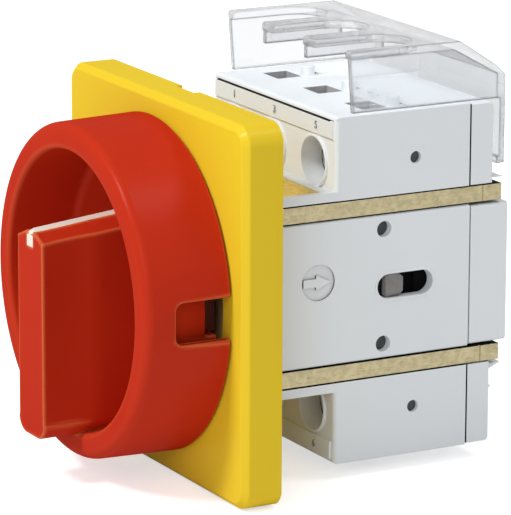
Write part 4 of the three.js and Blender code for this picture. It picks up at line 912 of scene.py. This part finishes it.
blockSizes = {
    "poles": (-20, 0, 20), "half": 30, "low": 21.8, "top": 41.6, "front": 22, "seam": 58.1, "edge": 1, "corner": 1,
    "railInner": 28.5, "railFront": 5, "railTop": 24, "lipFront": 19.6,
    "bandFront": 21.4, "bandHalf": 28.7, "bandLow": 36.2, "bandTop": 40.45,
    "collar": 6.3, "dish": 5.72, "dishBack": 27, "bore": 4.32, "boreBack": 29.8, "screwZ": 29.6,
    "post": 1.7, "postX": 3, "postY": 40.6, "postTop": 44, "sleeveX": 5.1, "sleeveFront": 42.5, "sleeveBack": 46.7,
    "sleeveLow": 17.6, "chamberHalf": 8.4, "chamberFront": 28.8, "chamberLow": 24.2, "chamberTop": 39.3,
    "wireHalf": 4.1, "wireFront": 31.9, "wireBack": 38.6, "leadHalf": 4.3, "leadFront": 43.3, "leadBack": 45.9,
    "markHalf": 2.5, "markFront": 42.9, "markBack": 43.8, "markLow": 40.6,
    "sideHoleY": 43.4, "sideHoleZ": 30.1, "sideHole": 1.46, "sideHoleFloor": 28.8,
    "seamHalf": 27.8, "seamZ": 40.3, "seamHeight": 0.24, "seamFront": 21, "seamBack": 22.3,
    "numberZ": 38.4, "numberSize": 2.6, "numberShift": 1.6, "numberSink": 0.12, "numberDepth": 0.15,
}


def buildBlock():
    k = blockSizes
    half, front, low, top = k["half"], k["front"], k["low"], k["top"]
    side = [(front, low), (k["seam"], low), (k["seam"], top)]
    side += arc(front + k["edge"], top - k["edge"], k["edge"], 90, 180, 8)
    piece = prism("upperBlock", 'X', side, -half, half)
    bevelEdges(piece, lambda m, d: abs(d.z) > straight and m.y < front + 0.1, k["corner"], 6, sharp)
    bevelEdges(piece, lambda m, d: abs(m.x) > half - close and m.y > front + bite and m.z > low + 0.1
               or m.z > top - close and m.y > 50, 0.25, 3, sharp)
    back, bandFront, holeZ = front + bite, k["bandFront"], k["screwZ"]
    for s in sides:   # rails and lip lie a hair inside the block's own faces
        addOn(piece, block("railTool", s * k["railInner"], s * (half - 0.03), k["railFront"], back + 2 * over,
                           low + 0.03, k["railTop"]))
    lip = barAt("lipTool", 0, half - 0.1, k["lipFront"], back, low + 0.06, k["railTop"] - 0.1)
    addOn(piece, bevelEdges(lip, lambda m, d: abs(d.x) > straight and m.y < front and m.z > low + 1, 0.4))
    band = barAt("bandTool", 0, k["bandHalf"], bandFront, back + 0.8, k["bandLow"], k["bandTop"])
    addOn(piece, bevelEdges(band, lambda m, d: m.y < bandFront + 0.1, 0.25))
    for x in k["poles"]:
        addOn(piece, rod("collarTool", 'Y', k["collar"], bandFront, back, x, holeZ, 72))
        addOn(piece, rod("postTool", 'Z', k["post"], top - bite, k["postTop"], x + k["postX"], k["postY"], 32),
              barAt("sleeveTool", x, k["sleeveX"], k["sleeveFront"], k["sleeveBack"], k["sleeveLow"], low + bite))
    for x in k["poles"]:
        cutAway(piece, barAt("chamberTool", x, k["chamberHalf"], k["chamberFront"], k["seam"] + over,
                             k["chamberLow"], k["chamberTop"]))
        cutAway(piece, rod("dishTool", 'Y', k["dish"], front - 2 * over, k["dishBack"], x, holeZ, 72))
        cutAway(piece, rod("boreTool", 'Y', k["bore"], k["dishBack"] - 0.2, k["boreBack"], x, holeZ, 64))
        cutAway(piece,
                barAt("wireTool", x, k["wireHalf"], k["wireFront"], k["wireBack"], k["chamberTop"] - over,
                      top + over),
                barAt("leadTool", x, k["leadHalf"], k["leadFront"], k["leadBack"], 0, k["chamberLow"] + over),
                barAt("slitTool", x, k["markHalf"], k["markFront"], k["markBack"], k["markLow"], top + over))
    cutAway(piece, *[rod("sideTool", 'X', k["sideHole"], s * k["sideHoleFloor"], s * (half + 2 * over),
                         k["sideHoleY"], k["sideHoleZ"], 36) for s in sides])
    cutAway(piece, barAt("seamTool", 0, k["seamHalf"], k["seamFront"], k["seamBack"], k["seamZ"],
                         k["seamZ"] + k["seamHeight"]))
    roundRims(piece, lambda m, d: m.y < bandFront + close and m.z < k["bandLow"] - 0.2
              and min(math.hypot(m.x - x, m.z - holeZ) for x in k["poles"]) < 7, 0.18)
    roundRims(piece, lambda m, d: abs(m.x) > half - close and around(m, k["sideHoleY"], k["sideHoleZ"], 1.7), 0.15)
    roundRims(piece, lambda m, d: abs(m.z - top) < close and abs(m.x) < 29 and 31 < m.y < 45, 0.15)
    roundRims(piece, lambda m, d: m.z > k["postTop"] - close, 0.3)
    return smoothFlats(piece)


def addNumber(piece, text, x, level):
    k = blockSizes
    clearSelection()
    place = (x * mm, (k["bandFront"] - k["numberSink"]) * mm, level * k["numberZ"] * mm)
    bpy.ops.object.text_add(location=place, rotation=(math.pi / 2, 0, 0))
    letters = bpy.context.object
    letters.data.body = text
    letters.data.size = k["numberSize"] * mm
    letters.data.extrude = k["numberDepth"] * mm
    letters.data.align_x = 'CENTER'
    letters.data.align_y = 'CENTER'
    letters.data.resolution_u = 3
    bpy.ops.object.convert(target='MESH')
    letters = settle(bpy.context.object)
    focus(piece)
    letters.select_set(True)
    bpy.ops.object.join()


def finishBlock(piece, node):
    k = blockSizes

    def off(c):
        return min(abs(c.x - x) for x in k["poles"])

    def within(c, wide, front, back, low, high):
        return off(c) < wide + beside and front - beside < c.y < back + beside and low < abs(c.z) < high

    dress(piece, "base", "grey_plastic", node)
    # painted shade on the faces that lie against the caps and the frames
    paint(piece, seamShade, lambda c, n: abs(n.y) > straight and c.y > k["seam"] - beside
          or abs(n.z) > straight and abs(c.z) < k["low"] + beside)
    # painted shade in the groove along the band's top
    paint(piece, seamShade, lambda c, n: abs(c.x) < k["seamHalf"] + beside
          and k["seamZ"] - close < abs(c.z) < k["seamZ"] + k["seamHeight"] + close
          and k["bandFront"] + beside < c.y < k["seamBack"] + beside)
    # painted shade on the floors of the side holes
    paint(piece, holeShade, lambda c, n: abs(n.x) > straight and abs(abs(c.x) - k["sideHoleFloor"]) < beside
          and abs(c.y - k["sideHoleY"]) < k["sideHole"] and abs(abs(c.z) - k["sideHoleZ"]) < k["sideHole"])
    paint(piece, numberShade, lambda c, n: c.y < k["bandFront"] - close
          and abs(abs(c.z) - k["numberZ"]) < k["numberSize"])
    # inside the wire ways a hatched grey that stands in for the clamps and their painted shade; painted shade in the
    # slits and screw wells
    paint(piece, clampShade, lambda c, n: abs(n.z) < 0.3 and within(
        c, k["wireHalf"], k["wireFront"], k["wireBack"], k["chamberTop"] - beside, k["top"] - 0.2))
    paint(piece, seamShade, lambda c, n: within(
        c, k["markHalf"], k["markFront"], k["markBack"], k["markLow"] - beside, k["top"] - 0.1))
    paint(piece, holeShade, lambda c, n: k["dishBack"] - beside < c.y < k["boreBack"]
          and math.hypot(off(c), abs(c.z) - k["screwZ"]) < k["dish"])


upperBlock = buildBlock()
lowerBlock = turnedOver(upperBlock, "lowerBlock")
for index, x in enumerate(blockSizes["poles"]):
    addNumber(upperBlock, str(2 * index + 1), x + blockSizes["numberShift"], 1)
    addNumber(lowerBlock, str(2 * index + 2), x + blockSizes["numberShift"], -1)
finishBlock(upperBlock, "upper_terminal_block")
finishBlock(lowerBlock, "lower_terminal_block")
print("terminal blocks built")


# Caps that close the blocks from behind

capSizes = {
    "front": 58.4, "end": 64.4, "low": 21.8, "top": 41.3, "half": 30, "edge": 1,
    "tongueHalf": 4.5, "tongueFront": 53.4, "tongueLow": 27.7, "tongueTop": 35.7,
    "pocketHalf": 7.4, "pocketFront": 61, "pocketLow": 29.6, "pocketTop": 38,
    "wedgeInner": 20.5, "wedgeOuter": 28.5, "ledge": ((64.1, 24.5), (64.1, 22.7), (68.4, 22.7)),
    "catch": ((64.1, 29.5), (64.1, 28.3), (65.8, 28.3)),
}


def buildCap():
    k = capSizes
    front, end = k["front"], k["end"]
    side = [(front, k["low"]), (end, k["low"])]
    side += arc(end - k["edge"], k["top"] - k["edge"], k["edge"], 0, 90, 8) + [(front, k["top"])]
    piece = prism("upperCap", 'X', side, -k["half"], k["half"])
    bevelEdges(piece, lambda m, d: abs(m.x) > k["half"] - close, 0.25, 3, sharp)
    for x in blockSizes["poles"]:
        addOn(piece, barAt("tongueTool", x, k["tongueHalf"], k["tongueFront"], front + bite, k["tongueLow"],
                           k["tongueTop"]))
        cutAway(piece, barAt("pocketTool", x, k["pocketHalf"], k["pocketFront"], end + over, k["pocketLow"],
                             k["pocketTop"]))
    for s in sides:
        for shape in ("ledge", "catch"):
            addOn(piece, prism("wedgeTool", 'X', k[shape], *sorted((s * k["wedgeInner"], s * k["wedgeOuter"]))))
    roundRims(piece, lambda m, d: abs(m.y - end) < close and abs(m.x) < 28 and m.z > 29, 0.15)
    return smoothFlats(piece)


def finishCap(piece, node):
    dress(piece, "base", "grey_plastic", node)
    # painted shade on the faces that lie against the block
    paint(piece, seamShade, lambda c, n: abs(n.y) > straight and c.y < capSizes["front"] + beside)


upperCap = buildCap()
lowerCap = turnedOver(upperCap, "lowerCap")
finishCap(upperCap, "upper_terminal_cap")
finishCap(lowerCap, "lower_terminal_cap")


# Steel frames between the housing and the blocks

frameSizes = {
    "half": 30, "front": 5, "end": 67, "low": 17.6, "top": 21.5, "padHalf": 28.2, "padEnd": 19.3, "padTop": 23.7,
    "windowHalf": 5.4, "windowFront": 41.5, "windowBack": 47.7, "threadX": 22, "threadZ": 20.65, "thread": 2.3,
    "creaseIn": 29.75, "creaseFront": 61.4, "creaseBack": 61.9, "padEdge": 0.3,
}


def buildFrame():
    k = frameSizes
    below, above = k["low"] - over, k["top"] + over
    piece = barAt("upperFrame", 0, k["half"], k["front"], k["end"], k["low"], k["top"])
    pad = barAt("padTool", 0, k["padHalf"], k["front"], k["padEnd"], k["low"], k["padTop"])
    addOn(piece, bevelEdges(pad, lambda m, d: m.z > k["padTop"] - 0.1, k["padEdge"]))
    for x in blockSizes["poles"]:
        cutAway(piece, barAt("windowTool", x, k["windowHalf"], k["windowFront"], k["windowBack"], below, above))
    cutAway(piece, *[rod("threadTool", 'Y', k["thread"], k["front"] - over, k["padEnd"] + over, s * k["threadX"],
                         k["threadZ"], 32) for s in sides])
    cutAway(piece, *[block("creaseTool", s * k["creaseIn"], s * (k["half"] + over), k["creaseFront"],
                           k["creaseBack"], below, above) for s in sides])
    roundRims(piece, lambda m, d: abs(m.x) > k["half"] - close, 0.2)
    return smoothFlats(piece)


def finishFrame(piece, node):
    k = frameSizes
    dress(piece, "base", "chromated_steel", node)
    # painted shade on the faces that lie against the housing and under the blocks
    paint(piece, seamShade, lambda c, n: abs(n.z) > straight
          and (abs(c.z) < k["low"] + beside or abs(abs(c.z) - k["top"]) < beside and c.y > k["padEnd"] + beside))
    paint(piece, golden, lambda c, n: abs(c.z) > k["padTop"] - k["padEdge"] - beside
          and c.y < k["padEnd"] + beside)


upperFrame = buildFrame()
lowerFrame = turnedOver(upperFrame, "lowerFrame")
finishFrame(upperFrame, "upper_frame")
finishFrame(lowerFrame, "lower_frame")


# Clear cover over the upper terminals

coverSizes = {
    "half": 30, "wall": 1.5, "front": 25.6, "low": 42, "top": 56.6, "corner": 0.8, "lean": 1, "roofUnder": 54.6,
    "roofEnd": 55, "slopeEnd": 65.4, "slopeZ": 49.8, "back": 67.6, "foldZ": 47.6, "skirt": 26.4, "backInner": 66.1,
    "slotHalf": 7.2, "slotOpen": 20, "slotEnd": 46.5, "webs": (-11.3, 8.7), "webHalf": 0.6, "webLow": 51.6,
    "hookFront": 65.4, "hookTop": 28, "edge": 0.25,
}


def buildCover():
    k = coverSizes
    half, inner, front, under = k["half"], k["half"] - k["wall"], k["front"], k["roofUnder"]
    side = arc(front + k["corner"], k["top"] - k["corner"], k["corner"], 180, 90, 6)
    side += [(k["roofEnd"], k["top"]), (k["slopeEnd"], k["slopeZ"]), (k["back"], k["foldZ"]),
             (k["back"], k["skirt"]), (k["backInner"], k["skirt"]), (k["backInner"], k["low"]),
             (front + k["lean"], k["low"])]
    piece = prism("clearCover", 'X', side, -half, half)
    bevelEdges(piece, lambda m, d: abs(m.x) > half - close, k["edge"])
    hollow = [(front - over, k["low"] - over), (front - over, under), (k["roofEnd"] - over, under),
              (k["backInner"], k["foldZ"] + 0.2), (k["backInner"], k["low"] - over)]
    cutAway(piece, prism("hollowTool", 'X', hollow, -inner, inner))
    r = k["slotHalf"]
    for x in blockSizes["poles"]:
        outline = arc(x, k["slotEnd"] - r, r, 0, 180, 32)
        outline = [(x + r, k["slotOpen"])] + outline + [(x - r, k["slotOpen"])]
        cutAway(piece, prism("slotTool", 'Z', outline, under - over, k["top"] + over))
    for x in k["webs"]:
        addOn(piece, barAt("webTool", x, k["webHalf"], front, k["slotEnd"], k["webLow"], under + bite))
    addOn(piece, barAt("hookTool", 0, half, k["hookFront"], k["backInner"] + bite, k["skirt"], k["hookTop"]))
    roundRims(piece, lambda m, d: m.y < k["slotEnd"] + 0.1 and under + 0.2 < m.z and abs(m.x) < inner, 0.3)
    smoothFlats(piece)
    return dress(piece, "base", "clear_plastic", "terminal_cover")


buildCover()
print("caps, frames and cover built")

bpy.context.scene.view_settings.view_transform = 'Standard'
